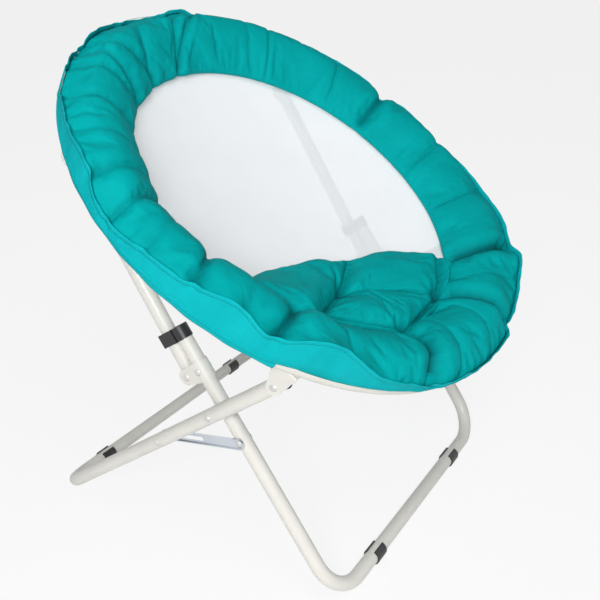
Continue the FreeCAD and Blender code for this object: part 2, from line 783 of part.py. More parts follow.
def on_bowl(place):
    """A point just above the mesh, in the ring's own frame."""
    return V(place[0], place[1], bowl_height(math.hypot(place[0], place[1])) + 2 * soft_gap)


def between(a, b, share):
    return (a[0] + (b[0] - a[0]) * share, a[1] + (b[1] - a[1]) * share)


def pad_section(a, b, crown):
    """A section between two places of the bowl: a sole that follows the mesh and a crowned top."""
    middle = on_bowl(between(a, b, 0.5))
    start = on_bowl(a)
    end = on_bowl(b)
    return Part.Wire([arc(start, middle, end), arc(end, middle + V(0, 0, crown), start)])


def pad_cell(*corners):
    """One stuffed cell between two seams, full in the middle."""
    near_a, near_b, far_a, far_b = [pad_place(corner) for corner in corners]
    return Part.makeLoft([
        pad_section(near_a, near_b, pad_seam_crown),
        pad_section(between(near_a, far_a, 0.5), between(near_b, far_b, 0.5), pad_crown),
        pad_section(far_a, far_b, pad_seam_crown),
    ], True, False)


def seat_pad():
    """The stuffed seat in the front of the bowl, three cells drawn in at three tufts."""
    return [
        pad_cell(pad_back_middle, pad_back_left, tuft_back, tuft_left),
        pad_cell(pad_back_right, pad_back_middle, pad_side_right, tuft_back),
        pad_cell(pad_side_right, tuft_back, tuft_right, tuft_left),
    ]


def cloth_parts():
    write("rim_sleeve", [on_ring(sleeve())])
    write("rim_band", [on_ring(panel) for panel in round_panels(band_section)])
    write("rim_padding", [on_ring(panel) for panel in round_panels(collar_section)])
    write("rim_welt", [on_ring(panel) for panel in round_panels(welt_section)])
    write("mesh_bowl", [on_ring(mesh_bowl())])
    write("seat_pad", [on_ring(cell) for cell in seat_pad()])


def place(origin, name):
    print("%s y %.4f z %.4f" % (name, origin[0] - middle_y, origin[1]))


front_legs()
rear_legs()
front_leg_fittings()
rear_leg_fittings()
links()
back_supports()
ring_frame()
ring_brackets()
ring_bumper()
cloth_parts()

box = FreeCAD.BoundBox()
for shapes in nodes.values():
    for shape in shapes:
        box.add(shape.optimalBoundingBox(False, False))
middle_y = (box.YMin + box.YMax) / 2

for name, shapes in nodes.items():
    node = Part.makeCompound(shapes)
    node.translate(V(0, -middle_y, 0))
    node.exportStep("parts/" + name + ".step")
    valid = all(shape.isValid() for shape in shapes)
    print("%-24s solids %d volume %.0f valid %s" % (name, len(node.Solids), node.Volume, valid))

print("box x %.2f..%.2f y %.2f..%.2f z %.2f..%.2f" % (
    box.XMin, box.XMax, box.YMin - middle_y, box.YMax - middle_y, box.ZMin, box.ZMax))
place(seat_pivot, "seat_pivot")
place(back_pivot, "back_pivot")
place(knee, "knee")
place(scissor, "scissor")
place(link_pivot, "link_pivot")
place(link_pin, "link_pin")
place(ring_centre, "ring_centre")
place(front_foot, "front_foot")
place(rear_foot, "rear_foot")
print("turns: rear leg %.4f front leg %.4f support %.4f link %.4f tilt %.4f" % (
    rear_leg_turn, front_leg_turn, support_turn, link_turn, ring_tilt))
print("leans: front %.4f rear %.4f support %.4f link %.4f reach %.4f support length %.4f" % (
    front_lean, rear_lean, support_lean, link_lean, link_reach, support_length))
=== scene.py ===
"""A folding saucer chair: its cloth, padding and finishes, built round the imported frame."""
import json
import logging
import math
from dataclasses import dataclass, field
from enum import Enum
from functools import cache

import bmesh
import bpy
import numpy as np
from mathutils import Matrix, Vector
from mathutils.kdtree import KDTree


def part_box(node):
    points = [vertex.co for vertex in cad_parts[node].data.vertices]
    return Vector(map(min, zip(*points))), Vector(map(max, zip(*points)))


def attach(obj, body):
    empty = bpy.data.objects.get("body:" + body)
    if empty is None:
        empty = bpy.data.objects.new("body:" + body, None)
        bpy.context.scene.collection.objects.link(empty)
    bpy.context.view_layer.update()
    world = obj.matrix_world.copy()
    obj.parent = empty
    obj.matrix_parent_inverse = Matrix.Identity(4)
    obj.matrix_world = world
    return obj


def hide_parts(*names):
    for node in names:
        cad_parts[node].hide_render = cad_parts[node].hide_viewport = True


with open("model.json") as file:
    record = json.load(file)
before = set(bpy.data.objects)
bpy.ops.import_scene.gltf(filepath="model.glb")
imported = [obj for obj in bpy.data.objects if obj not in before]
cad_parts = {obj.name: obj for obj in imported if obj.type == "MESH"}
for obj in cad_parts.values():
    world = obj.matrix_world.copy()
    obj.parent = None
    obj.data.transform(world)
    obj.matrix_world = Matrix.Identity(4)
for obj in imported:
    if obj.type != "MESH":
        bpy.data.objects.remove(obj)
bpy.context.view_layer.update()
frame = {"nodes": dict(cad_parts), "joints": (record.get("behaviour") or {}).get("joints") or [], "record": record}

log = logging.getLogger("saucer_chair")
MM = 0.001
FULL_TURN = 360.0
BODY = "ring"
# The point attribute that carries painted shade in the cloth's folds.
FOLD_SHADE_ATTRIBUTE = "fold"

Place = tuple[float, float]
Colour = tuple[float, float, float]


class Hold(Enum):
    """How a sheet of cloth is held."""

    STRETCHED = "stretched"
    GATHERED = "gathered"


class Slot(Enum):
    """The finishes, by the names of their slots."""

    PADDED_CLOTH = "padded_cloth"
    BAND_CLOTH = "band_cloth"
    MESH_CLOTH = "mesh_cloth"
    FRAME_PAINT = "frame_paint"
    RIVET_STEEL = "rivet_steel"
    ZINC_PLATE = "zinc_plate"
    BLACK_PLASTIC = "black_plastic"
    WHITE_NYLON = "white_nylon"


class Effect(Enum):
    """The shared shader node groups."""

    WEAVE = "weave"
    CRUMPLE = "crumple"
    SURFACE = "surface"


Materials = dict[Slot, bpy.types.Material]


# The ring's own frame

@dataclass(frozen=True)
class Ring:
    """The seat ring's frame, found from the two pivots under it. Lengths are in millimetres."""

    front_reach: float = 209.0
    front_drop: float = 51.0
    back_reach: float = 217.0
    back_drop: float = 59.5
    radius: float = 365.0

    def pose(self) -> tuple[float, float, float]:
        """Finds the ring from the two pivots under it.

        Returns: the ring's tilt in radians and its middle's Y and Z.
        """
        pivots = {joint["name"]: joint["pos_m"] for joint in frame["joints"]}
        _, front_y, front_z = (value / MM for value in pivots["rear_leg_fold"])
        _, back_y, back_z = (value / MM for value in pivots["back_support_fold"])
        lean = math.atan2(back_z - front_z, back_y - front_y)
        slope = math.atan2(self.back_drop - self.front_drop, self.front_reach + self.back_reach)
        tilt = lean + slope
        y = front_y + self.front_reach * math.cos(tilt) - self.front_drop * math.sin(tilt)
        z = front_z + self.front_reach * math.sin(tilt) + self.front_drop * math.cos(tilt)
        return tilt, y, z

    def place(self, x: np.ndarray, back: np.ndarray, height: np.ndarray) -> np.ndarray:
        """Turns places in the ring's plane into the chair's frame.

        Args:
            x: across, towards the sitter's left.
            back: along the ring's plane, towards the chair's back.
            height: square to the ring's plane.

        Returns: the points in metres, one row each.
        """
        tilt, y, z = self.pose()
        cos, sin = math.cos(tilt), math.sin(tilt)
        return np.stack([x, y + back * cos - height * sin, z + back * sin + height * cos], -1) * MM

    def polar(self, radius: np.ndarray, angle: np.ndarray, height: np.ndarray) -> np.ndarray:
        """As place(), from a radius and an angle in degrees: 0 is the front, 90 the sitter's left."""
        turn = np.radians(angle)
        return self.place(radius * np.sin(turn), -radius * np.cos(turn), height)


RING = Ring()


def wrapped(angle: np.ndarray) -> np.ndarray:
    """Returns: the angles in degrees, brought to between -180 and 180."""
    return (angle + 180.0) % FULL_TURN - 180.0


def round_curve(knots: dict[float, float], angle: np.ndarray) -> np.ndarray:
    """A smooth closed curve of a value round the ring.

    Args:
        knots: the value at each angle in degrees.
        angle: where the curve is read.

    Returns: the value at each angle.
    """
    places = sorted(knots)
    turns = np.array([places[-2] - FULL_TURN, places[-1] - FULL_TURN, *places,
                      places[0] + FULL_TURN, places[1] + FULL_TURN])
    values = np.array([knots[places[-2]], knots[places[-1]], *(knots[p] for p in places),
                       knots[places[0]], knots[places[1]]])
    slopes = np.gradient(values, turns)
    angle = angle % FULL_TURN
    cell = np.clip(np.searchsorted(turns, angle, side="right") - 1, 0, len(turns) - 2)
    span = turns[cell + 1] - turns[cell]
    t = (angle - turns[cell]) / span
    return ((2 * t**3 - 3 * t**2 + 1) * values[cell] + (t**3 - 2 * t**2 + t) * span * slopes[cell]
            + (3 * t**2 - 2 * t**3) * values[cell + 1] + (t**3 - t**2) * span * slopes[cell + 1])


def smooth_loop(knots: np.ndarray, places: np.ndarray) -> np.ndarray:
    """A smooth closed curve through some knots.

    Args:
        knots: the knots, with their order on the axis before the last.
        places: where the curve is read, counted in knots.

    Returns: the curve's points, in the same layout.
    """
    count = knots.shape[-2]
    cell = np.floor(places).astype(int)
    t = (places - cell)[:, None]
    before, start, end, after = (knots[..., (cell + step) % count, :] for step in (-1, 0, 1, 2))
    return 0.5 * (2 * start + (end - before) * t + (2 * before - 5 * start + 4 * end - after) * t**2
                  + (3 * start - before - 3 * end + after) * t**3)


def ripple(angle: np.ndarray, waves: tuple[tuple[float, float, float], ...]) -> np.ndarray:
    """Returns: a sum of sine waves round the ring, each given as count, height and phase."""
    return sum(height * np.sin(np.radians(angle) * count + phase) for count, height, phase in waves)


# Meshes

def grid_piece(name: str, points: np.ndarray, close_u: bool, close_v: bool,
               cloth_size: Place) -> bpy.types.Object:
    """A quad mesh over a grid of points, with a UV map in metres of cloth.

    Args:
        name: the piece's name.
        points: the grid, as rows by columns by 3, in metres.
        close_u: whether the last row joins the first.
        close_v: whether the last column joins the first.
        cloth_size: how far the cloth runs along the rows and along the columns.

    Returns: the new object.
    """
    rows, columns = points.shape[:2]
    u_cells = rows if close_u else rows - 1
    v_cells = columns if close_v else columns - 1
    u, v = np.meshgrid(np.arange(u_cells), np.arange(v_cells), indexing="ij")
    u, v = u.ravel(), v.ravel()
    up, vp = (u + 1) % rows, (v + 1) % columns
    faces = np.stack([u * columns + v, up * columns + v, up * columns + vp, u * columns + vp], 1)
    mesh = bpy.data.meshes.new(name)
    mesh.from_pydata(points.reshape(-1, 3).tolist(), [], faces.tolist())
    uv = mesh.uv_layers.new(name="UVMap")
    corner_u = np.stack([u, u + 1, u + 1, u], 1) / u_cells * cloth_size[0]
    corner_v = np.stack([v, v, v + 1, v + 1], 1) / v_cells * cloth_size[1]
    uv.data.foreach_set("uv", np.stack([corner_u, corner_v], -1).astype(np.float32).ravel())
    piece = bpy.data.objects.new(name, mesh)
    bpy.context.scene.collection.objects.link(piece)
    if close_u and close_v:
        face_outwards(piece)
    mesh.shade_smooth()
    return piece


def face_outwards(piece: bpy.types.Object) -> None:
    """Points the faces of a closed piece outwards.

    Args:
        piece: the closed piece.
    """
    shell = bmesh.new()
    shell.from_mesh(piece.data)
    bmesh.ops.recalc_face_normals(shell, faces=shell.faces)
    shell.to_mesh(piece.data)
    shell.free()


def select_only(piece: bpy.types.Object) -> None:
    """Selects one piece, and nothing else.

    Args:
        piece: the piece.
    """
    bpy.ops.object.select_all(action="DESELECT")
    piece.select_set(True)
    bpy.context.view_layer.objects.active = piece


def apply_modifiers(piece: bpy.types.Object) -> None:
    """Applies a piece's modifiers to its mesh, in order.

    Args:
        piece: the piece.
    """
    select_only(piece)
    for modifier in list(piece.modifiers):
        bpy.ops.object.modifier_apply(modifier=modifier.name)


def thicken(piece: bpy.types.Object, thickness: float, offset: float = 0.0) -> None:
    """Gives an open sheet a thickness, and closes its edges.

    Args:
        piece: the sheet.
        thickness: how thick it gets, in millimetres.
        offset: which side it grows to, from -1 to 1.
    """
    solid = piece.modifiers.new("Thickness", "SOLIDIFY")
    solid.thickness = thickness * MM
    solid.offset = offset
    solid.use_rim = True
    apply_modifiers(piece)


def places_of(piece: bpy.types.Object) -> np.ndarray:
    """Reads a piece's points.

    Args:
        piece: the piece.

    Returns: its points in metres, one row each.
    """
    flat = np.empty(len(piece.data.vertices) * 3, np.float32)
    piece.data.vertices.foreach_get("co", flat)
    return flat.reshape(-1, 3).astype(float)


def inflate(piece: bpy.types.Object, held: np.ndarray, pressure: float, slack: float,
            reach: float, frames: int = 16) -> None:
    """Blows a closed cloth piece up between its held points, so that it wrinkles as sewn cloth does.

    Args:
        piece: the closed piece.
        held: how firmly each point is held, from 0 to 1.
        pressure: the filling's push.
        slack: how much more cloth there is than the piece's shape needs.
        reach: how far a point may move, in millimetres.
        frames: how many steps are taken.
    """
    start = places_of(piece)
    group = piece.vertex_groups.new(name="Held")
    for weight in (1.0, 0.6, 0.3):
        chosen = np.nonzero(np.abs(held - weight) < 0.16)[0]
        group.add([int(i) for i in chosen], weight, "REPLACE")
    cloth = piece.modifiers.new("Cloth", "CLOTH")
    settings = cloth.settings
    settings.quality = 4
    settings.mass = 0.25
    settings.tension_stiffness = 12
    settings.compression_stiffness = 12
    settings.bending_stiffness = 0.9
    settings.air_damping = 2.0
    settings.use_pressure = True
    settings.uniform_pressure_force = pressure
    settings.shrink_min = -slack
    settings.effector_weights.gravity = 0.0
    settings.vertex_group_mass = "Held"
    cloth.collision_settings.use_collision = False
    cloth.point_cache.frame_start = 1
    cloth.point_cache.frame_end = frames
    scene = bpy.context.scene
    for step in range(1, frames + 1):
        scene.frame_set(step)
    select_only(piece)
    bpy.ops.object.modifier_apply(modifier=cloth.name)
    scene.frame_set(1)
    moved = places_of(piece) - start
    length = np.linalg.norm(moved, axis=1, keepdims=True)
    limit = reach * MM
    moved *= np.tanh(length / limit) * limit / np.maximum(length, 1e-9)
    piece.data.vertices.foreach_set("co", (start + moved).astype(np.float32).ravel())
    piece.vertex_groups.clear()
    piece.data.update()


# Finishes

def smoothed(piece: bpy.types.Object) -> None:
    """Subdivides a filled piece once, for good.

    Args:
        piece: the piece.
    """
    smooth = piece.modifiers.new("Smooth", "SUBSURF")
    smooth.levels = smooth.render_levels = 1
    apply_modifiers(piece)


def value_node(tree: bpy.types.NodeTree, kind: str, **inputs: object) -> bpy.types.Node:
    """Adds a node and sets its inputs.

    Args:
        tree: where the node goes.
        kind: the node's type.
        **inputs: the values by the inputs' names, with spaces written as underscores.

    Returns: the node.
    """
    node = tree.nodes.new(kind)
    for name, value in inputs.items():
        node.inputs[name.replace("_", " ")].default_value = value
    return node


def math_node(tree: bpy.types.NodeTree, operation: str, first: object,
              second: object) -> bpy.types.NodeSocket:
    """Joins two values or sockets with a Math node.

    Args:
        tree: where the node goes.
        operation: what it does with them.
        first: a value or a socket.
        second: a value or a socket.

    Returns: the node's output.
    """
    node = tree.nodes.new("ShaderNodeMath")
    node.operation = operation
    for index, item in enumerate((first, second)):
        if isinstance(item, bpy.types.NodeSocket):
            tree.links.new(item, node.inputs[index])
        else:
            node.inputs[index].default_value = item
    return node.outputs[0]


def new_group(name: str, inputs: dict[str, float], outputs: tuple[str, ...]) -> bpy.types.NodeTree:
    """Starts a shader node group that takes a Vector and some values, and puts out values.

    Args:
        name: the group's name.
        inputs: its further inputs, with their first values.
        outputs: what it puts out.

    Returns: the group.
    """
    tree = bpy.data.node_groups.new(name, "ShaderNodeTree")
    tree.interface.new_socket("Vector", in_out="INPUT", socket_type="NodeSocketVector")
    for label, value in inputs.items():
        socket = tree.interface.new_socket(label, in_out="INPUT", socket_type="NodeSocketFloat")
        socket.default_value = value
    for label in outputs:
        tree.interface.new_socket(label, in_out="OUTPUT", socket_type="NodeSocketFloat")
    tree.nodes.new("NodeGroupInput").name = "In"
    tree.nodes.new("NodeGroupOutput").name = "Out"
    return tree


def weave_group() -> bpy.types.NodeTree:
    """A plain weave: its threads' height, and how the light and dark of the dye drifts.

    Returns: the group.
    """
    tree = new_group("Weave", {"Threads": 900.0}, ("Height", "Drift"))
    inside, out = tree.nodes["In"], tree.nodes["Out"]
    scaled = tree.nodes.new("ShaderNodeVectorMath")
    scaled.operation = "SCALE"
    tree.links.new(inside.outputs["Vector"], scaled.inputs[0])
    tree.links.new(inside.outputs["Threads"], scaled.inputs["Scale"])
    split = tree.nodes.new("ShaderNodeSeparateXYZ")
    tree.links.new(scaled.outputs[0], split.inputs[0])
    warp = math_node(tree, "SINE", math_node(tree, "MULTIPLY", split.outputs["X"], math.pi), 0.0)
    weft = math_node(tree, "SINE", math_node(tree, "MULTIPLY", split.outputs["Y"], math.pi), 0.0)
    tree.links.new(math_node(tree, "MULTIPLY", warp, weft), out.inputs["Height"])
    drift = value_node(tree, "ShaderNodeTexNoise", Scale=14.0, Detail=5.0, Roughness=0.6)
    tree.links.new(inside.outputs["Vector"], drift.inputs["Vector"])
    tree.links.new(drift.outputs[0], out.inputs["Drift"])
    return tree


def crumple_group() -> bpy.types.NodeTree:
    """Fine creases that soft cloth keeps: long low ridges, warped by noise.

    Returns: the group.
    """
    tree = new_group("Crumple", {"Scale": 30.0}, ("Height",))
    inside, out = tree.nodes["In"], tree.nodes["Out"]
    noise = value_node(tree, "ShaderNodeTexNoise", Detail=3.0, Roughness=0.5, Distortion=0.8)
    tree.links.new(inside.outputs["Vector"], noise.inputs["Vector"])
    tree.links.new(inside.outputs["Scale"], noise.inputs["Scale"])
    folded = math_node(tree, "ABSOLUTE", math_node(tree, "SUBTRACT", noise.outputs[0], 0.5), 0.0)
    tree.links.new(math_node(tree, "MULTIPLY", folded, 2.0), out.inputs["Height"])
    return tree


def surface_group() -> bpy.types.NodeTree:
    """Hard surfaces: a fine orange peel, slow patches, and a mask of scuffs.

    Returns: the group.
    """
    tree = new_group("Surface", {"Grain": 700.0, "Patches": 12.0}, ("Height", "Patch", "Scuff"))
    inside, out = tree.nodes["In"], tree.nodes["Out"]
    for label, source, detail in (("Height", "Grain", 2.0), ("Patch", "Patches", 4.0)):
        noise = value_node(tree, "ShaderNodeTexNoise", Detail=detail)
        tree.links.new(inside.outputs["Vector"], noise.inputs["Vector"])
        tree.links.new(inside.outputs[source], noise.inputs["Scale"])
        tree.links.new(noise.outputs[0], out.inputs[label])
    scuff = value_node(tree, "ShaderNodeTexNoise", Scale=90.0, Detail=8.0, Roughness=0.75)
    tree.links.new(inside.outputs["Vector"], scuff.inputs["Vector"])
    ramp = tree.nodes.new("ShaderNodeMapRange")
    ramp.inputs["From Min"].default_value = 0.62
    ramp.inputs["From Max"].default_value = 0.74
    tree.links.new(scuff.outputs[0], ramp.inputs["Value"])
    tree.links.new(ramp.outputs[0], out.inputs["Scuff"])
    return tree


@cache
def effect_group(effect: Effect) -> bpy.types.NodeTree:
    """Makes a shared group the first time that it is asked for.

    Args:
        effect: which group.

    Returns: the group.
    """
    makers = {Effect.WEAVE: weave_group, Effect.CRUMPLE: crumple_group, Effect.SURFACE: surface_group}
    return makers[effect]()


@dataclass(frozen=True)
class Finish:
    """What every finish has: a name, a colour and a roughness."""

    name: str
    colour: Colour
    roughness: float

    def start(self) -> tuple[bpy.types.Material, bpy.types.NodeTree, bpy.types.Node]:
        """Starts the material, with its colour and roughness.

        Returns: the material, its nodes and its shader.
        """
        material = bpy.data.materials.new(self.name)
        material.use_nodes = True
        tree = material.node_tree
        shader = tree.nodes["Principled BSDF"]
        shader.inputs["Base Color"].default_value = (*self.colour, 1.0)
        shader.inputs["Roughness"].default_value = self.roughness
        return material, tree, shader

    def group(self, tree: bpy.types.NodeTree, effect: Effect, source: str,
              **values: float) -> bpy.types.Node:
        """Adds a shared group.

        Args:
            tree: the material's nodes.
            effect: which group.
            source: the texture coordinates that it is fed with.
            **values: its further inputs.

        Returns: the group's node.
        """
        node = tree.nodes.new("ShaderNodeGroup")
        node.node_tree = effect_group(effect)
        coordinates = tree.nodes.new("ShaderNodeTexCoord")
        tree.links.new(coordinates.outputs[source], node.inputs["Vector"])
        for label, value in values.items():
            node.inputs[label].default_value = value
        return node

    def bump(self, tree: bpy.types.NodeTree, shader: bpy.types.Node, height: bpy.types.NodeSocket,
             distance: float, strength: float = 1.0) -> None:
        """Adds a bump on the shader, over any that it has.

        Args:
            tree: the material's nodes.
            shader: the material's shader.
            height: what gives the height.
            distance: how high it rises, in metres.
            strength: how strongly it shows.
        """
        node = tree.nodes.new("ShaderNodeBump")
        node.inputs["Distance"].default_value = distance
        node.inputs["Strength"].default_value = strength
        tree.links.new(height, node.inputs["Height"])
        if shader.inputs["Normal"].links:
            tree.links.new(shader.inputs["Normal"].links[0].from_socket, node.inputs["Normal"])
        tree.links.new(node.outputs[0], shader.inputs["Normal"])

    def tint(self, tree: bpy.types.NodeTree, shader: bpy.types.Node, mask: bpy.types.NodeSocket,
             other: Colour, low: float = 0.0, high: float = 1.0) -> None:
        """Mixes the colour with another by a mask, over any mix that is there.

        Args:
            tree: the material's nodes.
            shader: the material's shader.
            mask: what gives the share of the other colour.
            other: the other colour.
            low: the mask's value for none of it.
            high: the mask's value for all of it.
        """
        spread = tree.nodes.new("ShaderNodeMapRange")
        spread.inputs["From Min"].default_value = low
        spread.inputs["From Max"].default_value = high
        tree.links.new(mask, spread.inputs["Value"])
        mix = tree.nodes.new("ShaderNodeMix")
        mix.data_type = "RGBA"
        tree.links.new(spread.outputs[0], mix.inputs["Factor"])
        mix.inputs["A"].default_value = (*self.colour, 1.0)
        if shader.inputs["Base Color"].links:
            tree.links.new(shader.inputs["Base Color"].links[0].from_socket, mix.inputs["A"])
        mix.inputs["B"].default_value = (*other, 1.0)
        tree.links.new(mix.outputs["Result"], shader.inputs["Base Color"])


@dataclass(frozen=True)
class ClothFinish(Finish):
    """Woven polyester: threads, creases, a drift in the dye, painted shade deep in the folds and a soft sheen."""

    shade: Colour = (0.0, 0.2, 0.2)
    # The painted shade colour that the folds' valleys are darkened towards.
    deep: Colour = (0.0, 0.07, 0.08)
    threads: float = 1300.0
    crease: float = 1.2
    sheen: float = 0.0

    def make(self) -> bpy.types.Material:
        """Makes the material.

        Returns: the finished material.
        """
        material, tree, shader = self.start()
        shader.inputs["Sheen Weight"].default_value = self.sheen
        shader.inputs["Sheen Roughness"].default_value = 0.45
        shader.inputs["Specular IOR Level"].default_value = 0.05
        weave = self.group(tree, Effect.WEAVE, "UV", Threads=self.threads)
        crumple = self.group(tree, Effect.CRUMPLE, "Object", Scale=26.0)
        fine = self.group(tree, Effect.CRUMPLE, "Object", Scale=75.0)
        self.tint(tree, shader, weave.outputs["Drift"], self.shade, 0.35, 0.95)
        # Painted shade: the fold attribute darkens the colour in the folds, where shade falls.
        fold = tree.nodes.new("ShaderNodeAttribute")
        fold.attribute_name = FOLD_SHADE_ATTRIBUTE
        self.tint(tree, shader, fold.outputs["Fac"], self.deep, 0.0, 1.0)
        self.bump(tree, shader, crumple.outputs["Height"], self.crease * MM)
        self.bump(tree, shader, fine.outputs["Height"], 0.3 * self.crease * MM)
        self.bump(tree, shader, weave.outputs["Height"], 0.06 * MM)
        return material


@dataclass(frozen=True)
class MeshFinish(Finish):
    """Sheer net: fine threads with open gaps between them, and a faint painted glow that brightens it."""

    threads: float = 620.0
    cover: float = 0.4
    thread_cover: float = 0.3
    # How strongly the net glows white: painted brightness where no lamp is.
    glow: float = 0.08

    def make(self) -> bpy.types.Material:
        """Makes the material.

        Returns: the finished material.
        """
        material, tree, shader = self.start()
        weave = self.group(tree, Effect.WEAVE, "UV", Threads=self.threads)
        threads = math_node(tree, "ABSOLUTE", weave.outputs["Height"], 0.0)
        solid = math_node(tree, "SUBTRACT", 1.0, threads)
        woven = math_node(tree, "MULTIPLY", solid, self.thread_cover)
        alpha = math_node(tree, "ADD", woven, self.cover)
        tree.links.new(alpha, shader.inputs["Alpha"])
        # Painted light: a faint white glow that brightens the net.
        shader.inputs["Emission Color"].default_value = (1.0, 1.0, 1.0, 1.0)
        shader.inputs["Emission Strength"].default_value = self.glow
        self.tint(tree, shader, weave.outputs["Drift"], (0.84, 0.86, 0.89), 0.3, 0.9)
        self.bump(tree, shader, solid, 0.05 * MM)
        return material


@dataclass(frozen=True)
class HardFinish(Finish):
    """Paint, metal or plastic: grain, patches and scuffs over one colour."""

    metallic: float = 0.0
    coat: float = 0.0
    grain: float = 700.0
    peel: float = 0.02
    patch_colour: Colour = (0.5, 0.5, 0.5)
    scuff_colour: Colour = (0.5, 0.5, 0.5)
    scuff_from: float = 0.35

    def make(self) -> bpy.types.Material:
        """Makes the material.

        Returns: the finished material.
        """
        material, tree, shader = self.start()
        shader.inputs["Metallic"].default_value = self.metallic
        shader.inputs["Coat Weight"].default_value = self.coat
        surface = self.group(tree, Effect.SURFACE, "Object", Grain=self.grain, Patches=14.0)
        self.tint(tree, shader, surface.outputs["Patch"], self.patch_colour, 0.42, 0.9)
        self.tint(tree, shader, surface.outputs["Scuff"], self.scuff_colour, self.scuff_from, 2.2)
        rough = math_node(tree, "ADD", math_node(tree, "MULTIPLY", surface.outputs["Patch"], 0.16),
                          self.roughness - 0.08)
        tree.links.new(rough, shader.inputs["Roughness"])
        self.bump(tree, shader, surface.outputs["Height"], self.peel * MM)
        return material


FINISHES = {
    Slot.PADDED_CLOTH: ClothFinish(
        "Padded cloth, teal", (0.0, 0.37, 0.375), 0.75, shade=(0.0, 0.29, 0.295)),
    Slot.BAND_CLOTH: ClothFinish(
        "Band cloth, turquoise", (0.004, 0.44, 0.475), 0.7, shade=(0.0, 0.36, 0.39), crease=0.8),
    Slot.MESH_CLOTH: MeshFinish("Sheer net, white", (0.9, 0.91, 0.93), 0.6),
    Slot.FRAME_PAINT: HardFinish(
        "Powder coat, warm white", (0.70, 0.68, 0.63), 0.42, peel=0.03, coat=0.12,
        patch_colour=(0.64, 0.62, 0.58), scuff_colour=(0.52, 0.50, 0.46)),
    Slot.RIVET_STEEL: HardFinish(
        "Rivet steel", (0.74, 0.73, 0.71), 0.3, metallic=1.0, grain=1100.0,
        patch_colour=(0.6, 0.6, 0.6), scuff_colour=(0.45, 0.44, 0.42)),
    Slot.ZINC_PLATE: HardFinish(
        "Bright zinc", (0.66, 0.70, 0.75), 0.28, metallic=1.0, grain=260.0,
        patch_colour=(0.5, 0.54, 0.6), scuff_colour=(0.42, 0.44, 0.46)),
    Slot.BLACK_PLASTIC: HardFinish(
        "Moulded plastic, black", (0.014, 0.014, 0.015), 0.42, grain=1500.0, peel=0.04,
        patch_colour=(0.022, 0.022, 0.023), scuff_colour=(0.06, 0.06, 0.06)),
    Slot.WHITE_NYLON: HardFinish(
        "Nylon, white", (0.8, 0.79, 0.75), 0.4, patch_colour=(0.72, 0.71, 0.67),
        scuff_colour=(0.6, 0.58, 0.55)),
}


def paint_fold_shade(piece: bpy.types.Object, depths: np.ndarray) -> None:
    """Keeps on each point how deep in a fold it lies, from 0 to 1, as the share of painted shade that darkens the
    cloth there.
    """
    layer = piece.data.attributes.new(FOLD_SHADE_ATTRIBUTE, "FLOAT", "POINT")
    layer.data.foreach_set("value", np.clip(depths, 0, 1).astype(np.float32).ravel())


def dress(piece: bpy.types.Object, slot: Slot, materials: Materials) -> None:
    """Gives a piece one of the finishes.

    Args:
        piece: the piece.
        slot: which finish.
        materials: the finishes' materials.
    """
    piece.data.materials.clear()
    piece.data.materials.append(materials[slot])


# Shapes of the cloth round the ring

@dataclass(frozen=True)
class Gather:
    """A fold drawn in across the padded collar, from its outer edge to its inner one."""

    outer: float
    inner: float
    depth: float
    half_width: float
    at_outer: float = 1.0
    at_inner: float = 1.0


@dataclass
class RimLine:
    """The rim's upper edge, high beside the sitter's knees and notched where the cloth is drawn in."""

    tops: dict[float, float] = field(default_factory=lambda: {
        0: 26, 8: 30, 13.4: 20, 21: 29, 30: 42, 36: 52, 43: 38, 50: 43, 60: 38, 75: 31, 81: 24, 90: 29,
        100: 24, 103: 14, 107: 25, 115: 28, 130: 25, 143: 21, 150: 24, 161: 14, 168: 25, 177: 10, 190: 13,
        200: 20, 208: 13, 214: 25, 222: 27, 225: 16, 230: 29, 240: 36, 250: 44, 256: 25, 262: 21, 270: 34,
        280: 44, 289: 62, 298: 44, 304: 68, 309: 75, 313: 64, 320: 41, 330: 29, 337: 17, 345: 24})
    welt: float = 8.0

    def top(self, angle: np.ndarray) -> np.ndarray:
        """Returns: the height of the welt's top."""
        return round_curve(self.tops, angle)

    def edge(self, angle: np.ndarray) -> np.ndarray:
        """Returns: the height of the padding's outer edge, under the welt."""
        return self.top(angle) - self.welt


RIM = RimLine()


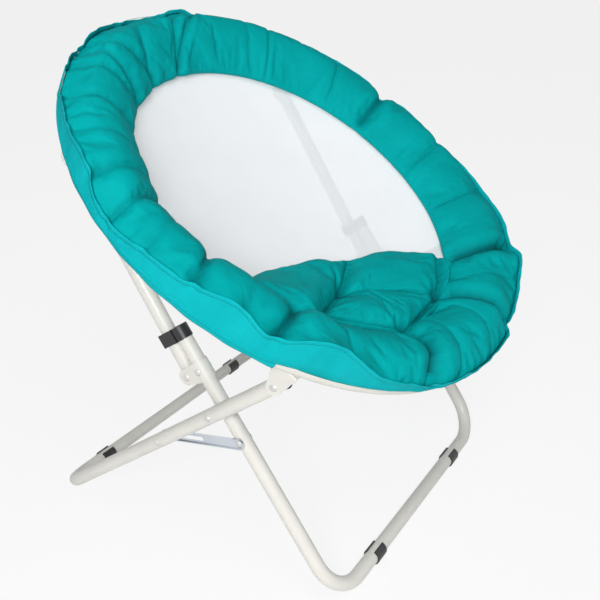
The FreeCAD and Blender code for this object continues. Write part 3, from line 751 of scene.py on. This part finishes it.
@dataclass
class Collar:
    """The stuffed collar that lies on the ring, gathered at uneven places."""

    around: int = 600
    across: int = 66
    inner: float = 272.0
    outer: float = 381.0
    over_tube: float = 14.7
    bulge: float = 0.16
    sewn_from: float = 5.0
    edge_draw: float = 0.28
    gathers: tuple[Gather, ...] = (
        Gather(13.4, 12.0, 18, 9), Gather(41.0, 33.0, 17, 9), Gather(30.0, 20.0, 2.5, 9, 1.0, 0.2),
        Gather(62.0, 58.0, 3, 10), Gather(82.0, 77.0, 5, 7, 0.8), Gather(102.5, 102.6, 13, 6),
        Gather(120.5, 117.7, 4, 5, 1.2, 0.5), Gather(143.0, 143.5, 4, 2.4), Gather(152.0, 150.0, 2, 7),
        Gather(164.5, 182.0, 9, 5), Gather(173.0, 183.0, 9, 5, 0.7), Gather(187.5, 198.0, 8, 6, 0.5),
        Gather(205.0, 197.2, 9, 6), Gather(208.5, 210.8, 9, 5), Gather(218.0, 213.4, 8, 5, 0.8),
        Gather(227.1, 227.0, 6, 5, 1.3, 0.6), Gather(239.2, 240.0, 2.5, 5, 1.2),
        Gather(251.5, 249.0, 9, 6, 1.0, 0.25), Gather(260.4, 256.5, 11, 5, 0.7, 0.8),
        Gather(270.0, 264.6, 4, 5, 1.0, 0.4), Gather(281.0, 277.0, 13, 6, 1.0, 0.7),
        Gather(292.0, 289.0, 2, 7), Gather(298.0, 303.0, 15, 7), Gather(314.0, 313.0, 3, 8, 0.5),
        Gather(337.0, 342.0, 17, 9), Gather(346.0, 353.0, 2.5, 7, 1.6, 0.1), Gather(0.0, 5.0, 2, 7, 1.6, 0.1))

    def controls(self, angle: np.ndarray) -> np.ndarray:
        """The section's control points, from the inner edge over the crown to the outer edge, down to
        the tube, over it and back.

        Args:
            angle: the places round the ring.

        Returns: at each place, the points as radius and height.
        """
        edge = RIM.edge(angle)
        lift = np.clip(edge - 25.0, -14.0, 60.0) / 4
        wander = ripple(angle, ((7, 1.6, 0.4), (11, 1.3, 2.0), (17, 0.9, 1.1)))
        wander += 13.0 * np.exp(-((wrapped(angle - 342.0) / 10.0) ** 2))
        full = ripple(angle, ((5, 1.5, 1.2), (9, 1.5, 0.3)))
        flat = np.zeros_like(angle)
        over = self.over_tube
        rows = [
            (self.inner + np.maximum(wander - 4.0, 0.0), -16.0 + flat),
            (self.inner - 2.5 + wander, -7.0 + flat),
            (277.0 + wander, 5.0 + lift * 0.3),
            (290.0 + wander * 0.8, 18.0 + lift * 0.7 + full),
            (306.0 + wander * 0.4, 31.0 + lift + full),
            (326.0 + flat, 41.5 + lift + full),
            (345.0 + flat, 44.0 + lift + full),
            (362.0 + flat, (39.0 + lift + full) * 0.62 + (edge + 6.0) * 0.38),
            (375.0 + flat, (edge + 5.0) * 0.85 + (28.0 + lift) * 0.15),
            (self.outer - 0.6 + flat, edge - 1.0),
            (self.outer - 0.8 + flat, edge * 0.5 + 3.0),
            (RING.radius + over * 0.95 + flat, 6.0 + flat),
            (RING.radius + over * 0.60 + flat, over * 0.80 + flat),
            (RING.radius + flat, over + flat),
            (RING.radius - over * 0.75 + flat, over * 0.68 + flat),
            (330.0 + flat, -1.0 + flat),
            (304.0 + flat, -8.0 + flat),
            (288.0 + wander * 0.4, -13.0 + flat),
        ]
        return np.stack([np.stack(row, -1) for row in rows], 1)

    def pull(self, angle: np.ndarray, radius: np.ndarray) -> tuple[np.ndarray, np.ndarray]:
        """How far the gathers draw the cloth in.

        Args:
            angle: the angle of each place.
            radius: its distance from the ring's middle.

        Returns: the depth at each place, and how near it lies to a gather's bottom, from 0 to 1.
        """
        depth = np.zeros_like(radius)
        bottom = np.zeros_like(radius)
        share = np.clip((radius - self.inner) / (self.outer - self.inner), 0, 1)
        for gather in self.gathers:
            turn = gather.inner + wrapped(np.asarray(gather.outer - gather.inner)) * share
            away = np.radians(wrapped(angle - turn)) * radius
            scaled = away / gather.half_width
            amount = gather.depth * (gather.at_inner + (gather.at_outer - gather.at_inner) * share)
            depth += amount / (1 + np.abs(scaled) ** 1.7)
            depth -= self.bulge * amount * np.exp(-(((np.abs(scaled) - 3.2) / 1.6) ** 2))
            if gather.depth > self.sewn_from:
                bottom = np.maximum(bottom, np.exp(-((scaled / 0.5) ** 2)))
        return depth, bottom

    def drawn_in(self, angle: np.ndarray, radius: float) -> np.ndarray:
        """How far the gathers draw the rim's edge in.

        Args:
            angle: the places round the ring.
            radius: the edge's distance from the ring's middle.

        Returns: the distance at each place, in millimetres.
        """
        drawn = np.zeros_like(angle)
        for gather in self.gathers:
            away = np.radians(wrapped(angle - gather.outer)) * radius / (gather.half_width * 1.3)
            drawn += self.edge_draw * gather.depth * gather.at_outer * np.exp(-(away**2))
        return drawn

    def build(self) -> tuple[bpy.types.Object, np.ndarray]:
        """Sweeps the section round the ring and draws it in at the gathers.

        Returns: the collar, and how firmly each of its points is held.
        """
        angle = np.arange(self.around) * FULL_TURN / self.around
        knots = self.controls(angle)
        count = knots.shape[1]
        steps = np.linalg.norm(np.roll(knots, -1, 1) - knots, axis=-1).mean(0)
        length = np.concatenate([[0], np.cumsum(steps)])
        places = np.interp(np.arange(self.across) / self.across * length[-1], length, np.arange(count + 1))
        section = smooth_loop(knots, places)
        tangent = np.roll(section, -1, 1) - np.roll(section, 1, 1)
        tangent /= np.linalg.norm(tangent, axis=-1, keepdims=True)
        outwards = np.stack([-tangent[..., 1], tangent[..., 0]], -1)
        shown = np.interp(places, [0, 0.6, 2, 8.4, 9.4, count], [0.1, 0.3, 0.9, 1, 0, 0])[None, :]
        turn = angle[:, None] + np.zeros_like(section[..., 0])
        depth, bottom = self.pull(turn, section[..., 0])
        depth = depth * shown
        section = section - outwards * depth[..., None]
        section[..., 0] = np.minimum(section[..., 0], self.outer - 0.2)
        points = RING.polar(section[..., 0], turn, section[..., 1])
        piece = grid_piece("padded_collar", points, True, True, (2.3, length[-1] * MM))
        held = np.where(shown < 0.5, 1.0, 0.0) + np.zeros_like(depth)
        held = np.maximum(held, np.where(bottom > 0.5, 1.0, np.where(bottom > 0.2, 0.6, 0.0)))
        # Painted shade, darkest at the bottoms of the deepest gathers.
        paint_fold_shade(piece, np.clip(depth / 15.0, 0, 1) ** 1.5 * 0.95 * shown)
        return piece, held.ravel()

    def make(self, materials: Materials) -> None:
        """Builds the collar, fills it and puts it on the ring.

        Args:
            materials: the finishes' materials.
        """
        piece, held = self.build()
        inflate(piece, held, pressure=3.0, slack=0.035, reach=6.0)
        smoothed(piece)
        dress(piece, Slot.PADDED_CLOTH, materials)
        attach(piece, BODY)
        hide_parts("rim_padding")
        log.info("collar: %d points", len(piece.data.vertices))


@dataclass
class OuterBand:
    """The turquoise cloth outside the collar: an upright band, and a tunnel round the ring tube."""

    around: int = 720
    radius: float = 382.0
    low: float = 3.0
    bare_rise: float = 5.0
    bare_turn_in: float = 5.6
    turned_share: float = 0.35
    cloth: float = 1.2
    tunnel_end: float = 58.9
    tunnel_radius: float = 13.6

    def pucker(self, angle: np.ndarray, share: np.ndarray) -> np.ndarray:
        """How far the band's cloth stands out.

        Args:
            angle: the places round the ring.
            share: how far up each place is, from 0 at the hem to 1 at the top.

        Returns: the distance at each place, in millimetres.
        """
        waves = ripple(angle, ((37, 0.35, 0.2), (53, 0.3, 1.7), (90, 0.25, 0.9)))
        drawn = COLLAR.drawn_in(angle, self.radius) * share**1.5
        turned_in = self.bare_turn_in * self.bare(angle) * (1 - np.clip(share / self.turned_share, 0, 1)) ** 2
        return waves * np.sin(math.pi * share) - drawn - turned_in

    def hem(self, angle: np.ndarray) -> np.ndarray:
        """Returns: the height of the band's hem."""
        return self.low + self.bare_rise * self.bare(angle)

    def span(self, angle: np.ndarray) -> np.ndarray:
        """Returns: how high the band is, from its hem to just under the welt."""
        return RIM.edge(angle) + 0.5 - self.hem(angle)

    def bare(self, angle: np.ndarray) -> np.ndarray:
        """Returns: 1 in front, where the hem turns in on the bare tube, and 0 where the tunnel covers it."""
        return np.clip((self.tunnel_end + 3.0 - np.abs(wrapped(angle))) / 8.0, 0, 1)

    def make(self, materials: Materials) -> None:
        """Builds both sheets and puts them on the ring.

        Args:
            materials: the finishes' materials.
        """
        angle = np.arange(self.around) * FULL_TURN / self.around
        share = np.linspace(0, 1, 22)
        turn, part = np.meshgrid(angle, share, indexing="ij")
        height = self.hem(turn) + self.span(turn) * part
        points = RING.polar(self.radius + self.pucker(turn, part), turn, height)
        tall = float((RIM.edge(angle) - self.low).mean()) * MM
        band = grid_piece("outer_band", points, True, False, (2.4, tall))
        thicken(band, self.cloth)
        dress(band, Slot.BAND_CLOTH, materials)
        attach(band, BODY)
        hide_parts("rim_band")
        self.tunnel(materials)

    def tunnel(self, materials: Materials) -> None:
        """The cloth that goes round the tube at the sides and the back, open at the back brackets.

        Args:
            materials: the finishes' materials.
        """
        angle = np.linspace(self.tunnel_end, FULL_TURN - self.tunnel_end, 560)
        sweep = np.linspace(32.0, -222.0, 34)
        turn, about = np.meshgrid(angle, sweep, indexing="ij")
        sag = 0.5 * np.sin(np.radians(turn * 41)) * np.clip(np.cos(np.radians(about + 60)), 0, 1)
        reach = self.tunnel_radius + sag
        radius = RING.radius + reach * np.cos(np.radians(about))
        height = reach * np.sin(np.radians(about))
        points = RING.polar(radius, turn, height)
        long = math.radians(angle[-1] - angle[0]) * RING.radius * MM
        wide = math.radians(254.0) * self.tunnel_radius * MM
        piece = grid_piece("tube_tunnel", points, False, False, (long, wide))
        shell = bmesh.new()
        shell.from_mesh(piece.data)
        gaps = (bracket_box("back_bracket_left"), bracket_box("back_bracket_right"))
        doomed = [face for face in shell.faces if any(inside(face.calc_center_median(), gap) for gap in gaps)]
        bmesh.ops.delete(shell, geom=doomed, context="FACES")
        shell.to_mesh(piece.data)
        shell.free()
        thicken(piece, self.cloth * 0.9)
        dress(piece, Slot.BAND_CLOTH, materials)
        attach(piece, BODY)
        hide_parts("rim_sleeve")


def bracket_box(node: str) -> tuple[Vector, Vector]:
    """A box round one of the brackets, with a little room.

    Args:
        node: the bracket's node.

    Returns: the box's lowest and highest corners.
    """
    low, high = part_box(node)
    room = Vector((1.0, 1.0, 1.0)) * MM
    return low - room, high + room


def inside(point: Vector, box: tuple[Vector, Vector]) -> bool:
    """Returns: whether a point is in a box."""
    low, high = box
    return all(low[axis] <= point[axis] <= high[axis] for axis in range(3))


@dataclass
class Welt:
    """The sewn welt that stands along the rim's edge, in a line that wavers a little."""

    around: int = 900
    radius: float = 381.9
    thickness: float = 1.6
    lean: float = 1.3

    def make(self, materials: Materials) -> None:
        """Builds the welt and puts it on the ring.

        Args:
            materials: the finishes' materials.
        """
        angle = np.arange(self.around) * FULL_TURN / self.around
        half = self.thickness / 2
        profile = [(-half, 0.0), (-half, 3.5), (-half * 0.95, 6.6), (-half * 0.5, 7.8), (0.0, 8.1),
                   (half * 0.5, 7.8), (half * 0.95, 6.6), (half, 3.5), (half, 0.0), (0.0, -0.3)]
        turn = angle[:, None] + np.zeros(len(profile))
        side = np.array([p[0] for p in profile])[None, :]
        rise = np.array([p[1] for p in profile])[None, :]
        waver = ripple(turn, ((61, 0.5, 0.3), (97, 0.35, 1.0))) * rise / 8.0
        radius = self.radius + side + self.lean * rise / 8.0 + waver - COLLAR.drawn_in(turn, self.radius)
        points = RING.polar(radius, turn, RIM.edge(turn) + rise)
        piece = grid_piece("rim_welt_cloth", points, True, True, (2.4, 0.018))
        dress(piece, Slot.BAND_CLOTH, materials)
        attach(piece, BODY)
        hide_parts("rim_welt")


@dataclass
class Bowl:
    """The sheer net slung inside the rim, and the heights that the seat pad lies on."""

    rim: float = 276.0
    rim_drop: float = 18.0
    depth: float = 78.0
    cloth: float = 0.9

    def ball(self) -> float:
        """Returns: the radius of the ball that the net is a piece of."""
        rise = self.depth - self.rim_drop
        return (self.rim**2 + rise**2) / (2 * rise)

    def height(self, radius: np.ndarray) -> np.ndarray:
        """Returns: the net's height at a distance from the ring's middle."""
        ball = self.ball()
        return ball - self.depth - np.sqrt(np.maximum(ball**2 - np.minimum(radius, self.rim + 24) ** 2, 0))

    def make(self, materials: Materials) -> None:
        """Builds the net and puts it on the ring.

        Args:
            materials: the finishes' materials.
        """
        side = np.linspace(-1, 1, 97)
        x, y = np.meshgrid(side, side, indexing="ij")
        disc_x, disc_y = x * np.sqrt(1 - y**2 / 2), y * np.sqrt(1 - x**2 / 2)
        reach = self.rim + 3.0
        radius = np.hypot(disc_x, disc_y) * reach
        points = RING.place(disc_x * reach, disc_y * reach, self.height(radius) - 1.0)
        piece = grid_piece("seat_net", points, False, False, (2 * reach * MM, 2 * reach * MM))
        thicken(piece, self.cloth)
        dress(piece, Slot.MESH_CLOTH, materials)
        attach(piece, BODY)
        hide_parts("mesh_bowl")


@dataclass
class SeatPad:
    """The stuffed pad in the front of the bowl, drawn in along its seams and at three tufts."""

    inner_edge: float = 279.0
    back_middle: Place = (14.0, -124.0)
    back_left: Place = (144.0, -212.0)
    back_right: Place = (-244.0, -84.0)
    tuft_back: Place = (-80.0, -164.0)
    tuft_left: Place = (52.0, -264.0)
    tuft_right: Place = (-84.0, -270.0)
    side_right: Place = (-190.0, -180.0)
    middle: Place = (-52.0, -190.0)
    crown: float = 38.0
    edge_roll: float = 36.0
    seam_roll: float = 40.0
    sewn_tight: float = 0.9
    tuft_width: float = 17.0
    tuft_grip: float = 6.0
    wrinkles: int = 7
    wrinkle_height: float = 0.8
    rings: int = 46

    def outline(self) -> np.ndarray:
        """The pad's edge, once round.

        Returns: its places in the ring's plane, one row each.
        """
        back = [self.back_right, (-180.0, -74.0), (-118.0, -80.0), (-52.0, -92.0), self.back_middle,
                (66.0, -140.0), (112.0, -172.0), self.back_left]
        angles = np.linspace(34.2, -71.0, 24)[1:-1]
        reaches = [self.inner_edge + 12.0 * math.exp(-(((a + 18.0) / 10.0) ** 2)) for a in angles]
        front = [(reach * math.sin(math.radians(a)), -reach * math.cos(math.radians(a)))
                 for a, reach in zip(angles, reaches)]
        knots = np.array(back + front)
        return smooth_loop(knots, np.arange(len(knots) * 8) / 8)

    @staticmethod
    def away(x: np.ndarray, y: np.ndarray, a: Place, b: Place) -> np.ndarray:
        """How far places lie from a straight seam.

        Args:
            x: the places' distances across.
            y: the places' distances towards the back.
            a: the seam's start.
            b: the seam's end.

        Returns: the distance at each place.
        """
        ax, ay = a
        dx, dy = b[0] - ax, b[1] - ay
        t = np.clip(((x - ax) * dx + (y - ay) * dy) / (dx * dx + dy * dy), 0, 1)
        return np.hypot(x - ax - t * dx, y - ay - t * dy)

    @staticmethod
    def puff(near: np.ndarray, reach: float, bottom: float) -> np.ndarray:
        """A rounded rise away from a seam.

        Args:
            near: how far each place is from the seam.
            reach: how far out the rise goes on.
            bottom: how high the seam itself lies, as a share of the crown.

        Returns: the height as a share of the crown.
        """
        share = np.clip(near / reach, 0, 1)
        return bottom + (1 - bottom) * np.sqrt(1 - (1 - share) ** 2)

    def seams(self) -> tuple[tuple[Place, Place, float], ...]:
        """Returns: the sewn seams, each with its two ends and how deep it draws the pad in."""
        return ((self.tuft_back, self.back_middle, 0.95), (self.tuft_back, self.side_right, 0.95),
                (self.tuft_left, self.back_left, 1.0), (self.tuft_left, self.tuft_right, 1.0),
                (self.tuft_back, self.tuft_left, 0.55), (self.tuft_right, self.side_right, 0.9))

    def tufts(self) -> tuple[Place, ...]:
        """Returns: the places where the pad is tufted."""
        return self.tuft_back, self.tuft_left, self.tuft_right

    def spread(self) -> tuple[np.ndarray, np.ndarray, np.ndarray]:
        """Spreads a grid over the pad, from its middle to its edge.

        Returns: the grid's X and Y in the ring's plane, and how far each place is from the edge.
        """
        edge = self.outline()
        middle = np.array(self.middle)
        shares = np.linspace(0.0, 1.0, self.rings) ** 0.9
        top = middle + (edge[:, None, :] - middle) * shares[None, :, None]
        x, y = top[..., 0], top[..., 1]
        near_edge = np.full(x.shape, np.inf)
        for a, b in zip(edge, np.roll(edge, -1, 0)):
            near_edge = np.minimum(near_edge, self.away(x, y, tuple(a), tuple(b)))
        return x, y, near_edge

    def rise(self, x: np.ndarray, y: np.ndarray, near_edge: np.ndarray) -> np.ndarray:
        """How high the filling lifts the cloth between the seams and the tufts.

        Args:
            x: the places' distances across.
            y: the places' distances towards the back.
            near_edge: how far each place is from the pad's edge.

        Returns: the height over the net at each place, in millimetres.
        """
        rise = self.puff(near_edge, self.edge_roll, 0.0)
        for a, b, depth in self.seams():
            bottom = 1 - self.sewn_tight * depth
            rise = np.minimum(rise, self.puff(self.away(x, y, a, b), self.seam_roll, bottom))
        rise *= self.crown
        for tuft in self.tufts():
            near = np.hypot(x - tuft[0], y - tuft[1])
            rise *= 1 - 0.8 * np.exp(-((near / self.tuft_width) ** 2))
            spokes = np.cos(self.wrinkles * np.arctan2(y - tuft[1], x - tuft[0]) + tuft[0])
            rise += self.wrinkle_height * spokes * np.exp(-(((near - 26.0) / 13.0) ** 2))
        return rise

    def gripped(self, x: np.ndarray, y: np.ndarray, near_edge: np.ndarray) -> np.ndarray:
        """Where seams, tufts and the edge hold the cloth.

        Args:
            x: the places' distances across.
            y: the places' distances towards the back.
            near_edge: how far each place is from the pad's edge.

        Returns: 1 at held places, and 0 elsewhere.
        """
        held = near_edge < 2.0
        for tuft in self.tufts():
            held |= np.hypot(x - tuft[0], y - tuft[1]) < self.tuft_grip
        for a, b, depth in self.seams():
            if depth > 0.6:
                held |= self.away(x, y, a, b) < 2.5
        return held.astype(float)

    def make(self, materials: Materials) -> None:
        """Builds the pad, fills it and puts it in the bowl.

        Args:
            materials: the finishes' materials.
        """
        x, y, near_edge = self.spread()
        rise = self.rise(x, y, near_edge)
        sole = BOWL.height(np.hypot(x, y)) + 0.6
        upper = RING.place(x, y, sole + rise)
        lower = RING.place(x, y, sole - 0.2)
        points = np.concatenate([upper, lower[:, ::-1]], 1)
        piece = grid_piece("seat_pad_cloth", points, True, False, (0.9, 0.5))
        self.close(piece)
        gripped = self.gripped(x, y, near_edge)
        both_sides = np.concatenate([gripped, np.ones_like(gripped)], 1)
        held = self.matched(piece, points.reshape(-1, 3), both_sides.ravel())
        # Painted shade, darker where the pad sits low: at its edge, its seams and its tufts.
        low = np.clip(1 - rise / (0.62 * self.crown), 0, 1) ** 1.4 * 0.95
        both_sides = np.concatenate([low, low[:, ::-1]], 1)
        paint_fold_shade(piece, self.matched(piece, points.reshape(-1, 3), both_sides.ravel()))
        inflate(piece, held, pressure=3.0, slack=0.02, reach=6.0)
        smoothed(piece)
        dress(piece, Slot.PADDED_CLOTH, materials)
        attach(piece, BODY)
        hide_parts("seat_pad")
        log.info("seat pad: %d points", len(piece.data.vertices))

    @staticmethod
    def close(piece: bpy.types.Object) -> None:
        """Joins the doubled points at the pad's edge and its two middles.

        Args:
            piece: the pad.
        """
        shell = bmesh.new()
        shell.from_mesh(piece.data)
        bmesh.ops.remove_doubles(shell, verts=shell.verts, dist=0.4 * MM)
        bmesh.ops.recalc_face_normals(shell, faces=shell.faces)
        shell.to_mesh(piece.data)
        shell.free()

    @staticmethod
    def matched(piece: bpy.types.Object, places: np.ndarray, values: np.ndarray) -> np.ndarray:
        """Carries values over to the points of a piece.

        Args:
            piece: the piece.
            places: where the values are known, one row each.
            values: the value at each of them.

        Returns: for each point of the piece, the value of the nearest place.
        """
        tree = KDTree(len(places))
        for index, place in enumerate(places):
            tree.insert(place, index)
        tree.balance()
        return np.array([values[tree.find(vertex.co)[1]] for vertex in piece.data.vertices])


@dataclass
class Stitching:
    """Two rows of stitches along the band's hem."""

    pitch: float = 4.4
    length: float = 3.0
    thread: float = 0.42
    rows: tuple[float, ...] = (6.2, 11.4)

    def stitch(self) -> bpy.types.Object:
        """Models one stitch, a short thread with rounded ends, lying along X.

        Returns: the stitch.
        """
        bpy.ops.object.select_all(action="DESELECT")
        bpy.ops.mesh.primitive_cylinder_add(vertices=6, radius=self.thread * MM, depth=self.length * MM,
                                            location=(0, 0, 0))
        piece = bpy.context.object
        bpy.ops.object.mode_set(mode="EDIT")
        bpy.ops.mesh.select_all(action="SELECT")
        bpy.ops.transform.rotate(value=math.pi / 2, orient_axis="Y", center_override=(0, 0, 0))
        bpy.ops.mesh.select_all(action="DESELECT")
        bpy.ops.mesh.select_mode(type="FACE")
        bpy.ops.object.mode_set(mode="OBJECT")
        for face in piece.data.polygons:
            face.select = abs(face.normal.x) > 0.9
        bpy.ops.object.mode_set(mode="EDIT")
        bpy.ops.mesh.inset(thickness=self.thread * 0.5 * MM, depth=self.thread * 0.5 * MM)
        bpy.ops.object.mode_set(mode="OBJECT")
        return piece

    def make(self, materials: Materials) -> None:
        """Lays the stitches in their rows and puts them on the ring.

        Args:
            materials: the finishes' materials.
        """
        one = self.stitch()
        base = places_of(one)
        faces = np.array([list(face.vertices) for face in one.data.polygons if len(face.vertices) == 4])
        caps = [list(face.vertices) for face in one.data.polygons if len(face.vertices) != 4]
        bpy.data.objects.remove(one)
        radius = BAND.radius + BAND.cloth / 2
        count = int(2 * math.pi * radius / self.pitch)
        angle = np.arange(count) * FULL_TURN / count
        points, quads, ends = [], [], []
        for row in self.rows:
            above_hem = row - BAND.low
            height = BAND.hem(angle) + above_hem
            out = radius + BAND.pucker(angle, np.clip(above_hem / BAND.span(angle), 0, 1)) + self.thread * 0.4
            place = RING.polar(out, angle, height)
            ahead = RING.polar(out, angle + 0.2, height) - place
            ahead /= np.linalg.norm(ahead, axis=1, keepdims=True)
            upright = RING.polar(out, angle, height + 1.0) - place
            upright /= np.linalg.norm(upright, axis=1, keepdims=True)
            side = np.cross(upright, ahead)
            for index in range(count):
                start = len(points) * len(base)
                turn = np.stack([ahead[index], side[index], upright[index]])
                points.append(place[index] + base @ turn)
                quads.append(faces + start)
                ends.extend([v + start for v in cap] for cap in caps)
        mesh = bpy.data.meshes.new("hem_stitches")
        mesh.from_pydata(np.concatenate(points).tolist(), [], np.concatenate(quads).tolist() + ends)
        piece = bpy.data.objects.new("hem_stitches", mesh)
        bpy.context.scene.collection.objects.link(piece)
        face_outwards(piece)
        mesh.shade_smooth()
        dress(piece, Slot.BAND_CLOTH, materials)
        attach(piece, BODY)
        log.info("stitches: %d", 2 * count)


COLLAR = Collar()
BAND = OuterBand()
BOWL = Bowl()


# The hard parts keep their shapes

def dress_frame(materials: Materials) -> None:
    """Gives every piece of the frame its finish.

    Args:
        materials: the finishes' materials.
    """
    for row in frame["record"]["subparts"]:
        piece = frame["nodes"][row["node"]]
        piece.data.materials.clear()
        piece.data.materials.append(materials[Slot(row["material_slot"])])


# The room

@dataclass(frozen=True)
class Studio:
    """The pale floor, the soft lights and the camera."""

    azimuth: float = -58.0
    elevation: float = 25.8
    distance: float = 1339.3
    roll: float = 0.5
    lens: float = 48.55
    aim: tuple[float, float, float] = (2.2, 18.1, 325.7)
    white: float = 0.966

    def camera(self) -> None:
        """Places the camera where the photograph was taken from."""
        turn, rise = math.radians(self.azimuth), math.radians(self.elevation)
        back = Vector((math.sin(turn) * math.cos(rise), -math.cos(turn) * math.cos(rise), math.sin(rise)))
        right = Vector((math.cos(turn), math.sin(turn), 0.0))
        up = back.cross(right)
        lean = math.radians(self.roll)
        right, up = right * math.cos(lean) + up * math.sin(lean), up * math.cos(lean) - right * math.sin(lean)
        data = bpy.data.cameras.new("Camera")
        data.lens = self.lens
        data.sensor_width = 36.0
        data.sensor_fit = "HORIZONTAL"
        camera = bpy.data.objects.new("Camera", data)
        bpy.context.scene.collection.objects.link(camera)
        place = Vector(self.aim) * MM + back * self.distance * MM
        turned = Matrix((right, up, back)).transposed().to_4x4()
        camera.matrix_world = Matrix.Translation(place) @ turned
        bpy.context.scene.camera = camera

    def white_for_eyes(self, tree: bpy.types.NodeTree, shader: bpy.types.NodeSocket,
                       share: float, white: float) -> bpy.types.NodeSocket:
        """Mixes a shader with plain white where the eye, gloss or glass sees it.

        Args:
            tree: the material's nodes.
            shader: what light meets.
            share: how much of the white the eye sees.
            white: how bright it is.

        Returns: the mixed shader.
        """
        path = tree.nodes.new("ShaderNodeLightPath")
        seen = math_node(tree, "MAXIMUM", path.outputs["Is Camera Ray"], path.outputs["Is Glossy Ray"])
        seen = math_node(tree, "MAXIMUM", seen, path.outputs["Is Transmission Ray"])
        glow = tree.nodes.new("ShaderNodeEmission")
        glow.inputs["Color"].default_value = (white, white, white, 1.0)
        mix = tree.nodes.new("ShaderNodeMixShader")
        tree.links.new(math_node(tree, "MULTIPLY", seen, share), mix.inputs[0])
        tree.links.new(shader, mix.inputs[1])
        tree.links.new(glow.outputs[0], mix.inputs[2])
        return mix.outputs[0]

    def floor(self) -> None:
        """Lays the pale floor that keeps the chair's shadow."""
        bpy.ops.object.select_all(action="DESELECT")
        bpy.ops.mesh.primitive_plane_add(size=60.0, location=(0, 0, -0.0006))
        floor = bpy.context.object
        floor.name = "floor"
        material = bpy.data.materials.new("Floor")
        material.use_nodes = True
        tree = material.node_tree
        shader = tree.nodes["Principled BSDF"]
        shader.inputs["Base Color"].default_value = (0.9, 0.9, 0.9, 1.0)
        shader.inputs["Roughness"].default_value = 0.9
        shader.inputs["Specular IOR Level"].default_value = 0.1
        seen = self.white_for_eyes(tree, shader.outputs[0], 0.86, self.white * 1.02)
        tree.links.new(seen, tree.nodes["Material Output"].inputs["Surface"])
        floor.data.materials.append(material)

    def lamp(self, name: str, place: tuple[float, float, float], size: float, power: float) -> None:
        """Adds a soft square lamp that faces the chair.

        Args:
            name: the lamp's name.
            place: where it hangs, in metres.
            size: how wide it is, in metres.
            power: how strong it is, in watts.
        """
        data = bpy.data.lights.new(name, "AREA")
        data.size = size
        data.energy = power
        lamp = bpy.data.objects.new(name, data)
        bpy.context.scene.collection.objects.link(lamp)
        lamp.location = place
        lamp.rotation_euler = (Vector((0, 0, 0.4)) - Vector(place)).to_track_quat("-Z", "Y").to_euler()

    def world(self) -> None:
        """Sets a plain pale surround."""
        world = bpy.data.worlds.new("Room")
        bpy.context.scene.world = world
        world.use_nodes = True
        tree = world.node_tree
        light = tree.nodes["Background"]
        light.inputs["Color"].default_value = (0.97, 0.985, 1.0, 1.0)
        light.inputs["Strength"].default_value = 0.15
        seen = self.white_for_eyes(tree, light.outputs[0], 1.0, self.white)
        tree.links.new(seen, tree.nodes["World Output"].inputs["Surface"])

    def make(self) -> None:
        """Sets up the room."""
        self.camera()
        self.floor()
        self.world()
        self.lamp("Key", (-2.1, -1.0, 1.55), 0.8, 52.0)
        self.lamp("Fill", (1.0, -2.6, 1.5), 2.0, 5.0)
        self.lamp("Top", (-0.9, -0.9, 2.8), 1.2, 20.0)
        bpy.context.scene.view_settings.view_transform = "Standard"


def main() -> None:
    """Builds the chair's soft parts, dresses its frame and sets up the room."""
    logging.basicConfig(level=logging.INFO)
    materials = {slot: finish.make() for slot, finish in FINISHES.items()}
    dress_frame(materials)
    for part in (COLLAR, BAND, Welt(), BOWL, SeatPad(), Stitching()):
        part.make(materials)
        log.info("made: %s", type(part).__name__)
    Studio().make()


if __name__ == "__main__":
    main()
